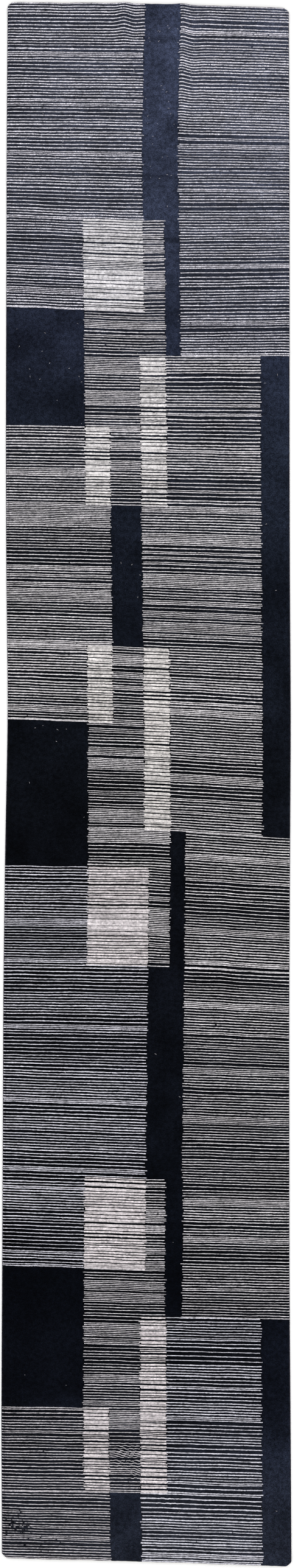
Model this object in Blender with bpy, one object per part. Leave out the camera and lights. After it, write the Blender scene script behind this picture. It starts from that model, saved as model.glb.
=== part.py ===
"""A hand-knotted runner rug lying flat: woven foundation, knotted pile in the fields of its
design, overcast selvedges along both sides, and end webs turned under and sewn down.

The rug lies in XY with its head end towards +Y and its underside on Z = 0. Sizes are in metres.
"""

import math

import bmesh
import bpy

# Overall size, measured along the middle of the rug and across its mid-length.
RUG_LENGTH = 4.382
RUG_WIDTH = 0.800

# How far the weaving strays from a true rectangle.
WIDTH_TAPER = 0.0246  # the foot end is wider than the head end by this share of the width
ROW_SLOPE = math.tan(math.radians(1.35))  # knot rows drop towards the right-hand side
SIDE_LEAN = 0.0013  # sideways drift of the long sides, per metre of length

# Clearance left between neighbouring pieces.
GAP = 0.0003

# Cloth and pile thicknesses.
FOUNDATION_THICKNESS = 0.0026
PILE_HEIGHT = 0.0076
PILE_EDGE_IN = 0.0030  # the sheared outer edge of the pile leans in by this much
PILE_EDGE_DROP = 0.0026  # and starts this far below the pile's top
CORNER_RADIUS = 0.011
CORNER_STEPS = 5
END_SETBACK = 0.0010  # the last knot row stands this far inside the fold of the end web

# Side finish: a bundle of edge warps inside an overcast sleeve of wool.
SELVEDGE_RADIUS = 0.0027
SELVEDGE_CORE_RADIUS = 0.0012
SELVEDGE_SIDES = 12

# End finish: a plain-woven web folded under and sewn to the back.
WEB_THICKNESS = 0.0016
HEM_DEPTH = 0.024
HEM_RAMP = 0.020  # length over which the rug climbs on to its turned-under web
WEB_SIDE_INSET = 0.0020
THREAD_WIDTH = 0.0012
THREAD_HEIGHT = 0.0012

# The corners are drawn in a little by the sewing of the hem.
CORNER_DRAW = 0.0045
CORNER_DRAW_LENGTH = 0.015
CORNER_DRAW_EARLY = 0.3  # share of the draw already reached half way to the end

# The cartoon: design lines counted in knots from the left side and in rows from the head end.
KNOTS_ACROSS = 315
ROWS_ALONG = 1724
COLUMN_KNOTS = {
    "left": 0, "a": 88, "b": 116, "c": 156, "c_in": 151, "d": 180, "e": 197, "f": 286,
    "right": KNOTS_ACROSS,
}
ROW_KNOTS = (
    0, 239, 340, 390, 470, 556, 713, 803, 915, 955, 1066, 1300, 1402, 1456, 1554, 1649, ROWS_ALONG,
)

# Derived sizes.
HALF_LENGTH = RUG_LENGTH / 2
HALF_WIDTH = RUG_WIDTH / 2
PILE_HALF_WIDTH = HALF_WIDTH - 2 * SELVEDGE_RADIUS - GAP
PILE_HALF_LENGTH = HALF_LENGTH - END_SETBACK
KNOT_WIDTH = 2 * PILE_HALF_WIDTH / KNOTS_ACROSS
ROW_PITCH = 2 * PILE_HALF_LENGTH / ROWS_ALONG
PILE_BOTTOM = FOUNDATION_THICKNESS + GAP
PILE_TOP = PILE_BOTTOM + PILE_HEIGHT
HEM_LIFT = WEB_THICKNESS + GAP
RAMP_START = HALF_LENGTH - HEM_DEPTH - HEM_RAMP
RAMP_END = HALF_LENGTH - HEM_DEPTH
DRAW_START = HALF_LENGTH - CORNER_DRAW_LENGTH
DRAW_MIDDLE = HALF_LENGTH - CORNER_DRAW_LENGTH / 2
BREAKS = (RAMP_START, RAMP_END, DRAW_START, DRAW_MIDDLE)

# Finishes: sRGB colour, roughness.
NAVY_WOOL = ("1D2231", 0.95)
STRIPED_WOOL = ("68666E", 0.93)
DENSE_STRIPED_WOOL = ("9A9696", 0.92)
COTTON_GROUND = ("C9BFA9", 0.90)
WARP_CORD = ("D2C8B4", 0.88)
OVERCAST_WOOL = ("2B2736", 0.94)
COTTON_WEB = ("BDB29B", 0.92)
SEWING_COTTON = ("D8D0BE", 0.80)

# The fields of pile: name, finish, and outline as (column, row) corners of the cartoon.
PILE_FIELDS = (
    ("pile_striped_left_head", STRIPED_WOOL,
     (("left", 0), ("c", 0), ("c", 1), ("a", 1), ("a", 2), ("left", 2))),
    ("pile_navy_column_head", NAVY_WOOL,
     (("c", 0), ("e", 0), ("e", 3), ("d", 3), ("d", 1), ("c", 1))),
    ("pile_striped_right_head", STRIPED_WOOL,
     (("e", 0), ("right", 0), ("right", 3), ("e", 3))),
    ("pile_dense_block_head", DENSE_STRIPED_WOOL,
     (("a", 1), ("c", 1), ("c", 2), ("a", 2))),
    ("pile_striped_middle_head", STRIPED_WOOL,
     (("c", 1), ("d", 1), ("d", 3), ("c_in", 3), ("c_in", 5), ("b", 5), ("b", 4), ("a", 4), ("a", 2),
      ("c", 2))),
    ("pile_navy_block_head", NAVY_WOOL,
     (("left", 2), ("a", 2), ("a", 4), ("left", 4))),
    ("pile_dense_right_upper", DENSE_STRIPED_WOOL,
     (("c_in", 3), ("d", 3), ("d", 5), ("c_in", 5))),
    ("pile_striped_right_upper", STRIPED_WOOL,
     (("d", 3), ("f", 3), ("f", 8), ("d", 8), ("d", 6), ("c_in", 6), ("c_in", 5), ("d", 5))),
    ("pile_navy_border_upper", NAVY_WOOL,
     (("f", 3), ("right", 3), ("right", 8), ("f", 8))),
    ("pile_striped_left_upper", STRIPED_WOOL,
     (("left", 4), ("a", 4), ("a", 5), ("b", 5), ("b", 6), ("a", 6), ("a", 7), ("left", 7))),
    ("pile_dense_left_upper", DENSE_STRIPED_WOOL,
     (("a", 4), ("b", 4), ("b", 5), ("a", 5))),
    ("pile_navy_column_upper", NAVY_WOOL,
     (("b", 5), ("c_in", 5), ("c_in", 6), ("b", 6))),
    ("pile_dense_left_centre", DENSE_STRIPED_WOOL,
     (("a", 6), ("b", 6), ("b", 7), ("a", 7))),
    ("pile_dense_right_centre", DENSE_STRIPED_WOOL,
     (("c_in", 6), ("d", 6), ("d", 8), ("c_in", 8))),
    ("pile_striped_middle_centre", STRIPED_WOOL,
     (("b", 6), ("c_in", 6), ("c_in", 8), ("d", 8), ("d", 10), ("c", 10), ("c", 9), ("a", 9), ("a", 7),
      ("b", 7))),
    ("pile_navy_block_centre", NAVY_WOOL,
     (("left", 7), ("a", 7), ("a", 9), ("left", 9))),
    ("pile_navy_column_lower", NAVY_WOOL,
     (("d", 8), ("e", 8), ("e", 13), ("d", 13), ("d", 11), ("c", 11), ("c", 10), ("d", 10))),
    ("pile_striped_right_lower", STRIPED_WOOL,
     (("e", 8), ("right", 8), ("right", 13), ("e", 13))),
    ("pile_dense_block_centre", DENSE_STRIPED_WOOL,
     (("a", 9), ("c", 9), ("c", 10), ("a", 10))),
    ("pile_striped_left_lower", STRIPED_WOOL,
     (("left", 9), ("a", 9), ("a", 10), ("c", 10), ("c", 11), ("a", 11), ("a", 12), ("left", 12))),
    ("pile_dense_block_foot", DENSE_STRIPED_WOOL,
     (("a", 11), ("c", 11), ("c", 12), ("a", 12))),
    ("pile_navy_block_foot", NAVY_WOOL,
     (("left", 12), ("a", 12), ("a", 14), ("left", 14))),
    ("pile_striped_middle_foot", STRIPED_WOOL,
     (("c", 11), ("d", 11), ("d", 13), ("c_in", 13), ("c_in", 15), ("b", 15), ("b", 14), ("a", 14),
      ("a", 12), ("c", 12))),
    ("pile_dense_right_foot", DENSE_STRIPED_WOOL,
     (("c_in", 13), ("d", 13), ("d", 15), ("c_in", 15))),
    ("pile_striped_right_foot", STRIPED_WOOL,
     (("d", 13), ("f", 13), ("f", 16), ("c_in", 16), ("c_in", 15), ("d", 15))),
    ("pile_navy_border_foot", NAVY_WOOL,
     (("f", 13), ("right", 13), ("right", 16), ("f", 16))),
    ("pile_dense_left_foot", DENSE_STRIPED_WOOL,
     (("a", 14), ("b", 14), ("b", 15), ("a", 15))),
    ("pile_striped_left_foot", STRIPED_WOOL,
     (("left", 14), ("a", 14), ("a", 15), ("b", 15), ("b", 16), ("left", 16))),
    ("pile_navy_column_foot", NAVY_WOOL,
     (("b", 15), ("c_in", 15), ("c_in", 16), ("b", 16))),
)


def linear_colour(hex_colour):
    """The linear RGBA of an sRGB hex colour."""
    channels = [int(hex_colour[i:i + 2], 16) / 255 for i in (0, 2, 4)]
    return [c / 12.92 if c <= 0.04045 else ((c + 0.055) / 1.055) ** 2.4 for c in channels] + [1.0]


def corner_of_cartoon(column, row):
    """Where a corner of the cartoon is, across and along, before the weaving's drift."""
    across = COLUMN_KNOTS[column] * KNOT_WIDTH - PILE_HALF_WIDTH
    along = PILE_HALF_LENGTH - ROW_KNOTS[row] * ROW_PITCH
    return across, along


def on_side(point):
    """True for a point on one of the long sides of the pile."""
    return math.isclose(abs(point[0]), PILE_HALF_WIDTH, abs_tol=GAP / 10)


def on_end(point):
    """True for a point on the head or foot end of the pile."""
    return math.isclose(abs(point[1]), PILE_HALF_LENGTH, abs_tol=GAP / 10)


def round_rug_corner(point):
    """The arc of points that takes the place of a corner of the whole rug, head-side first."""
    side = math.copysign(1, point[0])
    end = math.copysign(1, point[1])
    centre = (point[0] - side * CORNER_RADIUS, point[1] - end * CORNER_RADIUS)
    arc = []
    for step in range(CORNER_STEPS + 1):
        turn = math.pi / 2 * step / CORNER_STEPS
        arc.append((centre[0] + side * CORNER_RADIUS * math.sin(turn),
                    centre[1] + end * CORNER_RADIUS * math.cos(turn)))
    return arc


def field_outline(corners):
    """Points of a field's outline, counter-clockwise, and whether the edge after each is outer."""
    points = []
    square = [corner_of_cartoon(column, row) for column, row in corners]
    for before, point in zip(square[-1:] + square[:-1], square):
        if on_side(point) and on_end(point):
            arc = round_rug_corner(point)
            points += arc if math.isclose(before[1], point[1]) else arc[::-1]
        else:
            points.append(point)
    area = sum(p[0] * q[1] - q[0] * p[1] for p, q in zip(points, points[1:] + points[:1]))
    if area < 0:
        points.reverse()
    outer = []
    for p, q in zip(points, points[1:] + points[:1]):
        along_side = on_side(p) and on_side(q)
        along_end = on_end(p) and on_end(q)
        slanted = not (math.isclose(p[0], q[0]) or math.isclose(p[1], q[1]))
        outer.append(along_side or along_end or slanted)
    return points, outer


def offset_outline(points, distances):
    """The outline with the edge after each point moved inwards by its distance."""
    moved = []
    count = len(points)
    for i in range(count):
        lines = []
        for start in (i - 1, i):
            p = points[start]
            q = points[(start + 1) % count]
            length = math.hypot(q[0] - p[0], q[1] - p[1])
            normal = (-(q[1] - p[1]) / length, (q[0] - p[0]) / length)
            reach = normal[0] * p[0] + normal[1] * p[1] + distances[start]
            lines.append((normal, reach))
        (n1, d1), (n2, d2) = lines
        cross = n1[0] * n2[1] - n1[1] * n2[0]
        moved.append(((d1 * n2[1] - d2 * n1[1]) / cross, (n1[0] * d2 - n2[0] * d1) / cross))
    return moved


def loft(rings):
    """A closed body through rings of equal count, each counter-clockwise, from low to high."""
    bm = bmesh.new()
    levels = [[bm.verts.new(point) for point in ring] for ring in rings]
    count = len(levels[0])
    bm.faces.new(reversed(levels[0]))
    for low, high in zip(levels, levels[1:]):
        for i in range(count):
            j = (i + 1) % count
            bm.faces.new((low[i], low[j], high[j], high[i]))
    bm.faces.new(levels[-1])
    return bm


def pile_field(corners):
    """One field of pile, standing on the foundation, with its outer edges sheared back."""
    points, outer = field_outline(corners)
    base = offset_outline(points, [0 if edge else GAP / 2 for edge in outer])
    crown = offset_outline(points, [PILE_EDGE_IN if edge else GAP / 2 for edge in outer])
    shoulder_height = PILE_TOP - PILE_EDGE_DROP
    return loft((
        [(x, y, PILE_BOTTOM) for x, y in base],
        [(x, y, shoulder_height) for x, y in base],
        [(x, y, PILE_TOP) for x, y in crown],
    ))


def block(low, high):
    """A rectangular body between two opposite corners."""
    outline = ((low[0], low[1]), (high[0], low[1]), (high[0], high[1]), (low[0], high[1]))
    return loft(([(x, y, low[2]) for x, y in outline], [(x, y, high[2]) for x, y in outline]))


def lengthwise_ring(centre_across, radius, along):
    """A ring of points round the middle of a selvedge, at one place along the rug."""
    ring = []
    for side in range(SELVEDGE_SIDES):
        turn = 2 * math.pi * (side + 0.5) / SELVEDGE_SIDES
        ring.append((centre_across + radius * math.sin(turn), along,
                     SELVEDGE_RADIUS + radius * math.cos(turn)))
    return ring


def selvedge_core(centre_across, half_length):
    """The round bundle of edge warps that runs down one side."""
    return loft([lengthwise_ring(centre_across, SELVEDGE_CORE_RADIUS, along)
                 for along in (-half_length, half_length)])


def selvedge_sleeve(centre_across, half_length):
    """The overcast wool that wraps the edge warps, open at both ends."""
    inner_radius = SELVEDGE_CORE_RADIUS + GAP
    # The flats of a faceted circle stand at its radius times this, so the height stays true.
    flat = math.cos(math.pi / SELVEDGE_SIDES)
    bm = bmesh.new()
    rings = {}
    for name, radius in (("outer", SELVEDGE_RADIUS / flat), ("inner", inner_radius / flat)):
        for along in (-half_length, half_length):
            ring = lengthwise_ring(centre_across, radius, along)
            rings[name, along] = [bm.verts.new(point) for point in ring]
    for i in range(SELVEDGE_SIDES):
        j = (i + 1) % SELVEDGE_SIDES
        for name, flip in (("outer", False), ("inner", True)):
            near, far = rings[name, -half_length], rings[name, half_length]
            face = (near[i], near[j], far[j], far[i])
            bm.faces.new(reversed(face) if flip else face)
        for along, flip in ((-half_length, True), (half_length, False)):
            wall, bore = rings["outer", along], rings["inner", along]
            face = (wall[i], wall[j], bore[j], bore[i])
            bm.faces.new(reversed(face) if flip else face)
    return bm


def end_web(end):
    """The plain-woven web at one end: up the end face, round the fold and in under the rug."""
    half_width = HALF_WIDTH - WEB_SIDE_INSET
    outer = HALF_LENGTH
    profile = (
        (outer - HEM_DEPTH, 0),
        (outer, 0),
        (outer, HEM_LIFT + FOUNDATION_THICKNESS),
        (outer - WEB_THICKNESS, HEM_LIFT + FOUNDATION_THICKNESS),
        (outer - WEB_THICKNESS, WEB_THICKNESS),
        (outer - HEM_DEPTH, WEB_THICKNESS),
    )
    return loft([[(across, end * along, up) for along, up in profile]
                 for across in (-half_width, half_width)])


def hem_thread(end):
    """The line of sewing that holds the edge of the turned-under web to the back."""
    half_width = HALF_WIDTH - WEB_SIDE_INSET - 2 * SELVEDGE_RADIUS
    near = end * (HALF_LENGTH - HEM_DEPTH - GAP)
    far = near - end * THREAD_WIDTH
    return block((-half_width, min(near, far), 0), (half_width, max(near, far), THREAD_HEIGHT))


def share_between(value, low, high):
    """How far a value has got from low to high, held between 0 and 1."""
    return min(max((value - low) / (high - low), 0), 1)


def lay_down(point, lifted):
    """Moves a point of the square weave to where it lies in the finished rug."""
    across, along, up = point
    from_middle = abs(along)
    draw = CORNER_DRAW_EARLY * share_between(from_middle, DRAW_START, DRAW_MIDDLE)
    draw += (1 - CORNER_DRAW_EARLY) * share_between(from_middle, DRAW_MIDDLE, HALF_LENGTH)
    widening = 1 - WIDTH_TAPER * along / RUG_LENGTH - draw * CORNER_DRAW / HALF_WIDTH
    lift = HEM_LIFT * share_between(from_middle, RAMP_START, RAMP_END) if lifted else 0
    return across * widening + SIDE_LEAN * along, along - ROW_SLOPE * across, up + lift


def finish_material(name, finish):
    """A material named for its piece."""
    hex_colour, roughness = finish
    material = bpy.data.materials.new(name)
    material.use_nodes = True
    shader = material.node_tree.nodes["Principled BSDF"]
    shader.inputs["Base Color"].default_value = linear_colour(hex_colour)
    shader.inputs["Roughness"].default_value = roughness
    shader.inputs["Metallic"].default_value = 0.0
    material.diffuse_color = linear_colour(hex_colour)
    return material


def add_piece(name, bm, finish, lifted=True):
    """Cuts a body at the hem lines, lays it down and adds it to the scene as one object."""
    for distance in BREAKS:
        for end in (-1, 1):
            bmesh.ops.bisect_plane(
                bm, geom=bm.verts[:] + bm.edges[:] + bm.faces[:], dist=GAP / 100,
                plane_co=(0, end * distance, 0), plane_no=(0, 1, 0))
    for vert in bm.verts:
        vert.co = lay_down(vert.co, lifted)
    bmesh.ops.recalc_face_normals(bm, faces=bm.faces)
    mesh = bpy.data.meshes.new(name)
    bm.to_mesh(mesh)
    bm.free()
    mesh.materials.append(finish_material(name, finish))
    piece = bpy.data.objects.new(name, mesh)
    bpy.context.scene.collection.objects.link(piece)
    return piece


def centre_on_floor(pieces):
    """Moves the whole rug so the middle of its underside is at the origin."""
    for axis in (0, 1):
        places = [vert.co[axis] for piece in pieces for vert in piece.data.vertices]
        middle = (min(places) + max(places)) / 2
        for piece in pieces:
            for vert in piece.data.vertices:
                vert.co[axis] -= middle


def build():
    """Builds every piece of the rug."""
    for obj in list(bpy.data.objects):
        bpy.data.objects.remove(obj, do_unlink=True)

    ground_half_length = HALF_LENGTH - WEB_THICKNESS - GAP
    pieces = [add_piece(
        "foundation",
        block((-PILE_HALF_WIDTH, -ground_half_length, 0),
              (PILE_HALF_WIDTH, ground_half_length, FOUNDATION_THICKNESS)),
        COTTON_GROUND)]
    for name, finish, corners in PILE_FIELDS:
        pieces.append(add_piece(name, pile_field(corners), finish))
    for name, side in (("left", -1), ("right", 1)):
        middle = side * (HALF_WIDTH - SELVEDGE_RADIUS)
        pieces.append(add_piece(f"selvedge_core_{name}",
                                selvedge_core(middle, ground_half_length), WARP_CORD))
        pieces.append(add_piece(f"selvedge_overcast_{name}",
                                selvedge_sleeve(middle, ground_half_length), OVERCAST_WOOL))
    for name, end in (("head", 1), ("foot", -1)):
        pieces.append(add_piece(f"end_web_{name}", end_web(end), COTTON_WEB, lifted=False))
        pieces.append(add_piece(f"hem_thread_{name}", hem_thread(end), SEWING_COTTON, lifted=False))
    centre_on_floor(pieces)


build()
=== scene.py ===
"""The finished look of a hand-knotted runner rug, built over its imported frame.

The rug is knotted row by row. Every knot row is real geometry here: navy rows form the relief of the
pile, and each ivory row is a bar of its own that stands a little proud of them. The same rows are laid
out on the underside as knot backs, and the sides and ends have their wrapping, webs and stitching.

Lengths are in metres. X runs across the rug, Y along it towards the head end, and Z up.
"""

import logging
import math
from collections.abc import Mapping, Sequence
from dataclasses import dataclass, field, replace
from enum import Enum
from typing import Any

import bpy
import numpy as np
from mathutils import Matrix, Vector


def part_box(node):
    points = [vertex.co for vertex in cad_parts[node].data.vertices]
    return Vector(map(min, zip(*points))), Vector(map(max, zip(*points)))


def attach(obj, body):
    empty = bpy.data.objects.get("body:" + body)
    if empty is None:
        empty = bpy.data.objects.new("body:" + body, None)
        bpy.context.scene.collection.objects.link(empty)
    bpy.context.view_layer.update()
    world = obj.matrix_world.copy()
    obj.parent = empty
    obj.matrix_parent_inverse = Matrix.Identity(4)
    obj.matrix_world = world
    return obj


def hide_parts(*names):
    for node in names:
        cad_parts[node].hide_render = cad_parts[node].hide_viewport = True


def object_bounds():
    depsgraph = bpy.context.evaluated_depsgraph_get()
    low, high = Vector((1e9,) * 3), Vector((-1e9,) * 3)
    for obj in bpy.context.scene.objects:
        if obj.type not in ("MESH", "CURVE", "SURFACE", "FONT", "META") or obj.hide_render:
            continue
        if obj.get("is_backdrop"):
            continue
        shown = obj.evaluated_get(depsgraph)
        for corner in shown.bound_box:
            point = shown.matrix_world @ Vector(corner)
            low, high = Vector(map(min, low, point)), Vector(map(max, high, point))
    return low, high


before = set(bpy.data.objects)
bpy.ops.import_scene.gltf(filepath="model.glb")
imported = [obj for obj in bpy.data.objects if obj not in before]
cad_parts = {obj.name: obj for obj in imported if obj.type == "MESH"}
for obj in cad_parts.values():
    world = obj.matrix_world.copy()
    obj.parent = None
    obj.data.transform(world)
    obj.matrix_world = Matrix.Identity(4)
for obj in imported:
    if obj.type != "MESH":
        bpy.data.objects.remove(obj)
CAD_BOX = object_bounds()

LOG = logging.getLogger("runner_rug")
MM = 0.001
UV_LAYER = "OFBake"  # a flat layout of each knotted piece, one strip to a row
# Where the layout keeps the faces that hardly show: buried ones, bar ends and hidden walls.
BURIED_SPOT, END_SPOT, WALL_SPOT = 0.002, 0.004, 0.006
SPOT_SIZE = 0.004
MARGIN = 0.02  # the part of the layout left free at each edge
SIDES_TO_A_STRIP = 4.2  # a bar's four long sides, and a little gap before the next bar
WAVE_TO_METRES = 0.31  # a wave texture with this scale comes back about once a metre


# --------------------------------------------------------------------------------------------------
# Colour, nodes and meshes
# --------------------------------------------------------------------------------------------------


def linear(hex_colour: str) -> tuple[float, float, float, float]:
    """Turns an sRGB hex colour into linear RGBA.

    Args:
        hex_colour: Six hex digits, red first.

    Returns:
        Linear red, green and blue, and an alpha of 1.
    """
    channels = [int(hex_colour[i:i + 2], 16) / 255 for i in (0, 2, 4)]
    r, g, b = (c / 12.92 if c <= 0.04045 else ((c + 0.055) / 1.055) ** 2.4 for c in channels)
    return r, g, b, 1.0


def add_node(
    tree: bpy.types.NodeTree,
    kind: str,
    inputs: Mapping[str | int, Any] | None = None,
    stops: Sequence[tuple[float, tuple[float, ...]]] = (),
    **settings: Any,
) -> bpy.types.Node:
    """Adds one node with its settings, input values and incoming links.

    Args:
        tree: The node tree that takes the node.
        kind: The node's type name.
        inputs: Input name or number to a value, or to the output socket that feeds it.
        stops: Places and colours of a colour ramp, for a node that has one.
        **settings: Properties of the node itself.

    Returns:
        The new node.
    """
    node = tree.nodes.new(kind)
    for name, value in settings.items():
        setattr(node, name, value)
    for key, value in (inputs or {}).items():
        if isinstance(value, bpy.types.NodeSocket):
            tree.links.new(value, node.inputs[key])
        else:
            node.inputs[key].default_value = value
    for number, (place, colour) in enumerate(stops):
        elements = node.color_ramp.elements
        element = elements[number] if number < 2 else elements.new(place)
        element.position = place
        element.color = colour
    return node


def start_material(
    name: str, values: Mapping[str, Any]
) -> tuple[bpy.types.Material, bpy.types.NodeTree, bpy.types.Node]:
    """Starts a material and sets the plain values of its shader.

    Args:
        name: The material's name.
        values: Shader input name to value.

    Returns:
        The material, its node tree and its shader.
    """
    material = bpy.data.materials.new(name)
    material.use_nodes = True
    shader = material.node_tree.nodes["Principled BSDF"]
    for key, value in values.items():
        shader.inputs[key].default_value = value
    return material, material.node_tree, shader


def maths(tree: bpy.types.NodeTree, operation: str, *terms: Any) -> bpy.types.NodeSocket:
    """Adds a math node over two or three terms and returns its output."""
    return add_node(tree, "ShaderNodeMath", dict(enumerate(terms)), operation=operation).outputs[0]


def ranged(
    tree: bpy.types.NodeTree, value: bpy.types.NodeSocket, span: tuple[float, float],
    result: tuple[float, float], **settings: Any,
) -> bpy.types.NodeSocket:
    """Adds a map-range node.

    Args:
        tree: The node tree that takes it.
        value: The socket whose value is mapped.
        span: The two input values that give the two results.
        result: The two results.
        **settings: Properties of the node itself.

    Returns:
        The node's output.
    """
    return add_node(tree, "ShaderNodeMapRange", {
        "Value": value, "From Min": span[0], "From Max": span[1],
        "To Min": result[0], "To Max": result[1]}, **settings).outputs[0]


def roughen(tree: bpy.types.NodeTree, shader: bpy.types.Node, height: bpy.types.NodeSocket,
            depth: float, strength: float) -> None:
    """Gives a shader small relief.

    Args:
        tree: The node tree of the shader.
        shader: The shader.
        height: The socket with the relief's height, from 0 to 1.
        depth: How deep the relief is, in metres.
        strength: How much of it is felt, from 0 to 1.
    """
    relief = add_node(tree, "ShaderNodeBump", {
        "Strength": strength, "Distance": depth, "Height": height})
    tree.links.new(relief.outputs[0], shader.inputs["Normal"])


def inside_margin(share: np.ndarray) -> np.ndarray:
    """Turns a share from 0 to 1 into a place inside the layout's margins."""
    return MARGIN + (1 - 2 * MARGIN) * share


def grid_layout(across: np.ndarray, along: np.ndarray) -> np.ndarray:
    """Spreads a grid of points over the layout, from their shares across and along."""
    pair = np.broadcast_arrays(inside_margin(across)[None, :], inside_margin(along)[:, None])
    return np.stack(pair, axis=-1)


def box_layout(u0: Any, u1: Any, v0: Any, v1: Any) -> np.ndarray:
    """Lists the corners of boxes in the layout, in the order of a tube's or a bar's faces.

    Args:
        u0: Where each box starts along the piece.
        u1: Where it stops along the piece.
        v0: Where it starts around the piece.
        v1: Where it stops around the piece.

    Returns:
        Four pairs a box, on the last axis.
    """
    u0, u1, v0, v1 = np.broadcast_arrays(u0, u1, v0, v1)
    return np.stack((u0, v0, u0, v1, u1, v1, u1, v0), axis=-1)


def spot_layout(count: int, place: float, size: float = 0.0) -> np.ndarray:
    """Puts four-sided faces that hardly show on one small square of the layout.

    Args:
        count: How many faces there are.
        place: Where the square is, across and along.
        size: How large it is.

    Returns:
        The flat place of each corner, four pairs to a face.
    """
    flat = np.full((count, 4, 2), place)
    flat[:, 1:3, 0] += size
    flat[:, 2:, 1] += size
    return flat


class MeshDraft:
    """Points and faces gathered for one mesh, with a flat layout for each face."""

    def __init__(self) -> None:
        """Starts with nothing gathered."""
        self._points: list[np.ndarray] = []
        self._loops: list[np.ndarray] = []
        self._layouts: list[np.ndarray] = []
        self._sizes: list[np.ndarray] = []
        self._count = 0

    def add_points(self, points: np.ndarray) -> int:
        """Adds points and returns the number of the first one.

        Args:
            points: An array whose last axis holds x, y and z.

        Returns:
            The index of the first added point.
        """
        flat = points.reshape(-1, 3)
        first = self._count
        self._points.append(flat)
        self._count += len(flat)
        return first

    def add_quads(self, quads: np.ndarray, layout: np.ndarray) -> None:
        """Adds four-sided faces.

        Args:
            quads: Point numbers, four to a face.
            layout: The flat place of each corner, four pairs to a face.
        """
        self._loops.append(quads.reshape(-1))
        self._layouts.append(layout.reshape(-1, 2))
        self._sizes.append(np.full(len(quads.reshape(-1, 4)), 4))

    def add_polygon(self, loop: Sequence[int]) -> None:
        """Adds one many-sided face that never shows, folded into a corner of the layout.

        Args:
            loop: Its point numbers in order.
        """
        self._loops.append(np.asarray(loop))
        self._layouts.append(np.full((len(loop), 2), BURIED_SPOT))
        self._sizes.append(np.array([len(loop)]))

    def add_grid(
        self, points: np.ndarray, layout: np.ndarray, mask: np.ndarray | None = None
    ) -> int:
        """Adds a grid of points with a face in each of its cells.

        Args:
            points: Grid of points, lines first, then columns.
            layout: The flat place of each point.
            mask: Which cells get a face. All of them if left out.

        Returns:
            The index of the grid's first point.
        """
        first = self.add_points(points)
        lines, columns = points.shape[:2]
        numbers = np.arange(lines * columns).reshape(lines, columns)
        corners = (slice(0, -1), slice(1, None))
        picked = [
            numbers[corners[a], corners[b]] for a, b in ((0, 0), (1, 0), (1, 1), (0, 1))
        ]
        quads = np.stack(picked, axis=-1)
        quads = quads[mask] if mask is not None else quads.reshape(-1, 4)
        self.add_quads(quads + first, layout.reshape(-1, 2)[quads])
        return first

    def add_tube(self, rings: np.ndarray, layout: np.ndarray) -> None:
        """Adds a tube through rings of points, with a face at each end.

        Args:
            rings: Ring, point of the ring, and x, y and z.
            layout: The flat place of each corner, ring by ring, four pairs to a face.
        """
        count, around = rings.shape[:2]
        number = self.add_points(rings) + np.arange(count * around).reshape(count, around)
        after = np.roll(number, -1, axis=1)
        self.add_quads(np.stack((number[:-1], after[:-1], after[1:], number[1:]), axis=-1), layout)
        self.add_polygon(number[0][::-1])
        self.add_polygon(number[-1])

    def add_spot_tube(self, rings: np.ndarray, share: float) -> None:
        """Adds a tube so small that all of it lies on one square of the layout.

        Args:
            rings: Ring, point of the ring, and x, y and z.
            share: How far along the layout's diagonal the square is.
        """
        faces = (len(rings) - 1) * rings.shape[1]
        self.add_tube(rings, spot_layout(faces, 0.3 + 0.4 * share, SPOT_SIZE))

    def add_bars(self, rings: Sequence[np.ndarray], layouts: Sequence[np.ndarray]) -> None:
        """Adds closed bars, side by side, each with four long sides.

        Args:
            rings: For each corner of a bar's profile, its points: bar, place along it, x, y and z.
            layouts: The layout of each long side, bar by bar, four pairs to a face.
        """
        points = np.stack(rings, axis=2)
        bars, places = points.shape[:2]
        number = self.add_points(points) + np.arange(bars * places * 4).reshape(bars, places, 4)
        for corner, layout in enumerate(layouts):
            after = (corner + 1) % 4
            self.add_quads(np.stack((number[:, :-1, corner], number[:, :-1, after],
                                     number[:, 1:, after], number[:, 1:, corner]), axis=-1), layout)
        for caps in (number[:, 0, ::-1], number[:, -1]):
            self.add_quads(caps, spot_layout(bars, END_SPOT))

    def make(self, name: str, material: bpy.types.Material) -> bpy.types.Object:
        """Turns what was gathered into an object that rides on the rug.

        Args:
            name: The piece's name.
            material: Its finish.

        Returns:
            The new object.
        """
        points = np.concatenate(self._points)
        loops = np.concatenate(self._loops).astype(np.int32)
        sizes = np.concatenate(self._sizes)
        layout = np.concatenate(self._layouts)
        used, loops = np.unique(loops, return_inverse=True)
        mesh = bpy.data.meshes.new(name)
        mesh.vertices.add(len(used))
        mesh.vertices.foreach_set("co", points[used].astype(np.float32).ravel())
        mesh.loops.add(len(loops))
        mesh.loops.foreach_set("vertex_index", loops.astype(np.int32).ravel())
        mesh.polygons.add(len(sizes))
        starts = np.concatenate(([0], np.cumsum(sizes)[:-1])).astype(np.int32)
        mesh.polygons.foreach_set("loop_start", starts)
        mesh.polygons.foreach_set("use_smooth", np.ones(len(sizes), dtype=bool))
        flat_map = mesh.uv_layers.new(name=UV_LAYER)
        flat_map.data.foreach_set("uv", layout.astype(np.float32).ravel())
        mesh.update(calc_edges=True)
        mesh.validate()
        mesh.materials.append(material)
        piece = bpy.data.objects.new(name, mesh)
        bpy.context.scene.collection.objects.link(piece)
        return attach(piece, "root")


# --------------------------------------------------------------------------------------------------
# The cartoon: what is knotted where
# --------------------------------------------------------------------------------------------------


class Column(Enum):
    """Design lines that run along the rug, in knots from the left side."""

    LEFT = 0
    A = 88
    B = 116
    C_IN = 151
    C = 156
    D_LOW = 178
    D = 180
    E = 197
    E_LOW = 198
    F = 285
    RIGHT = 315


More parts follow.
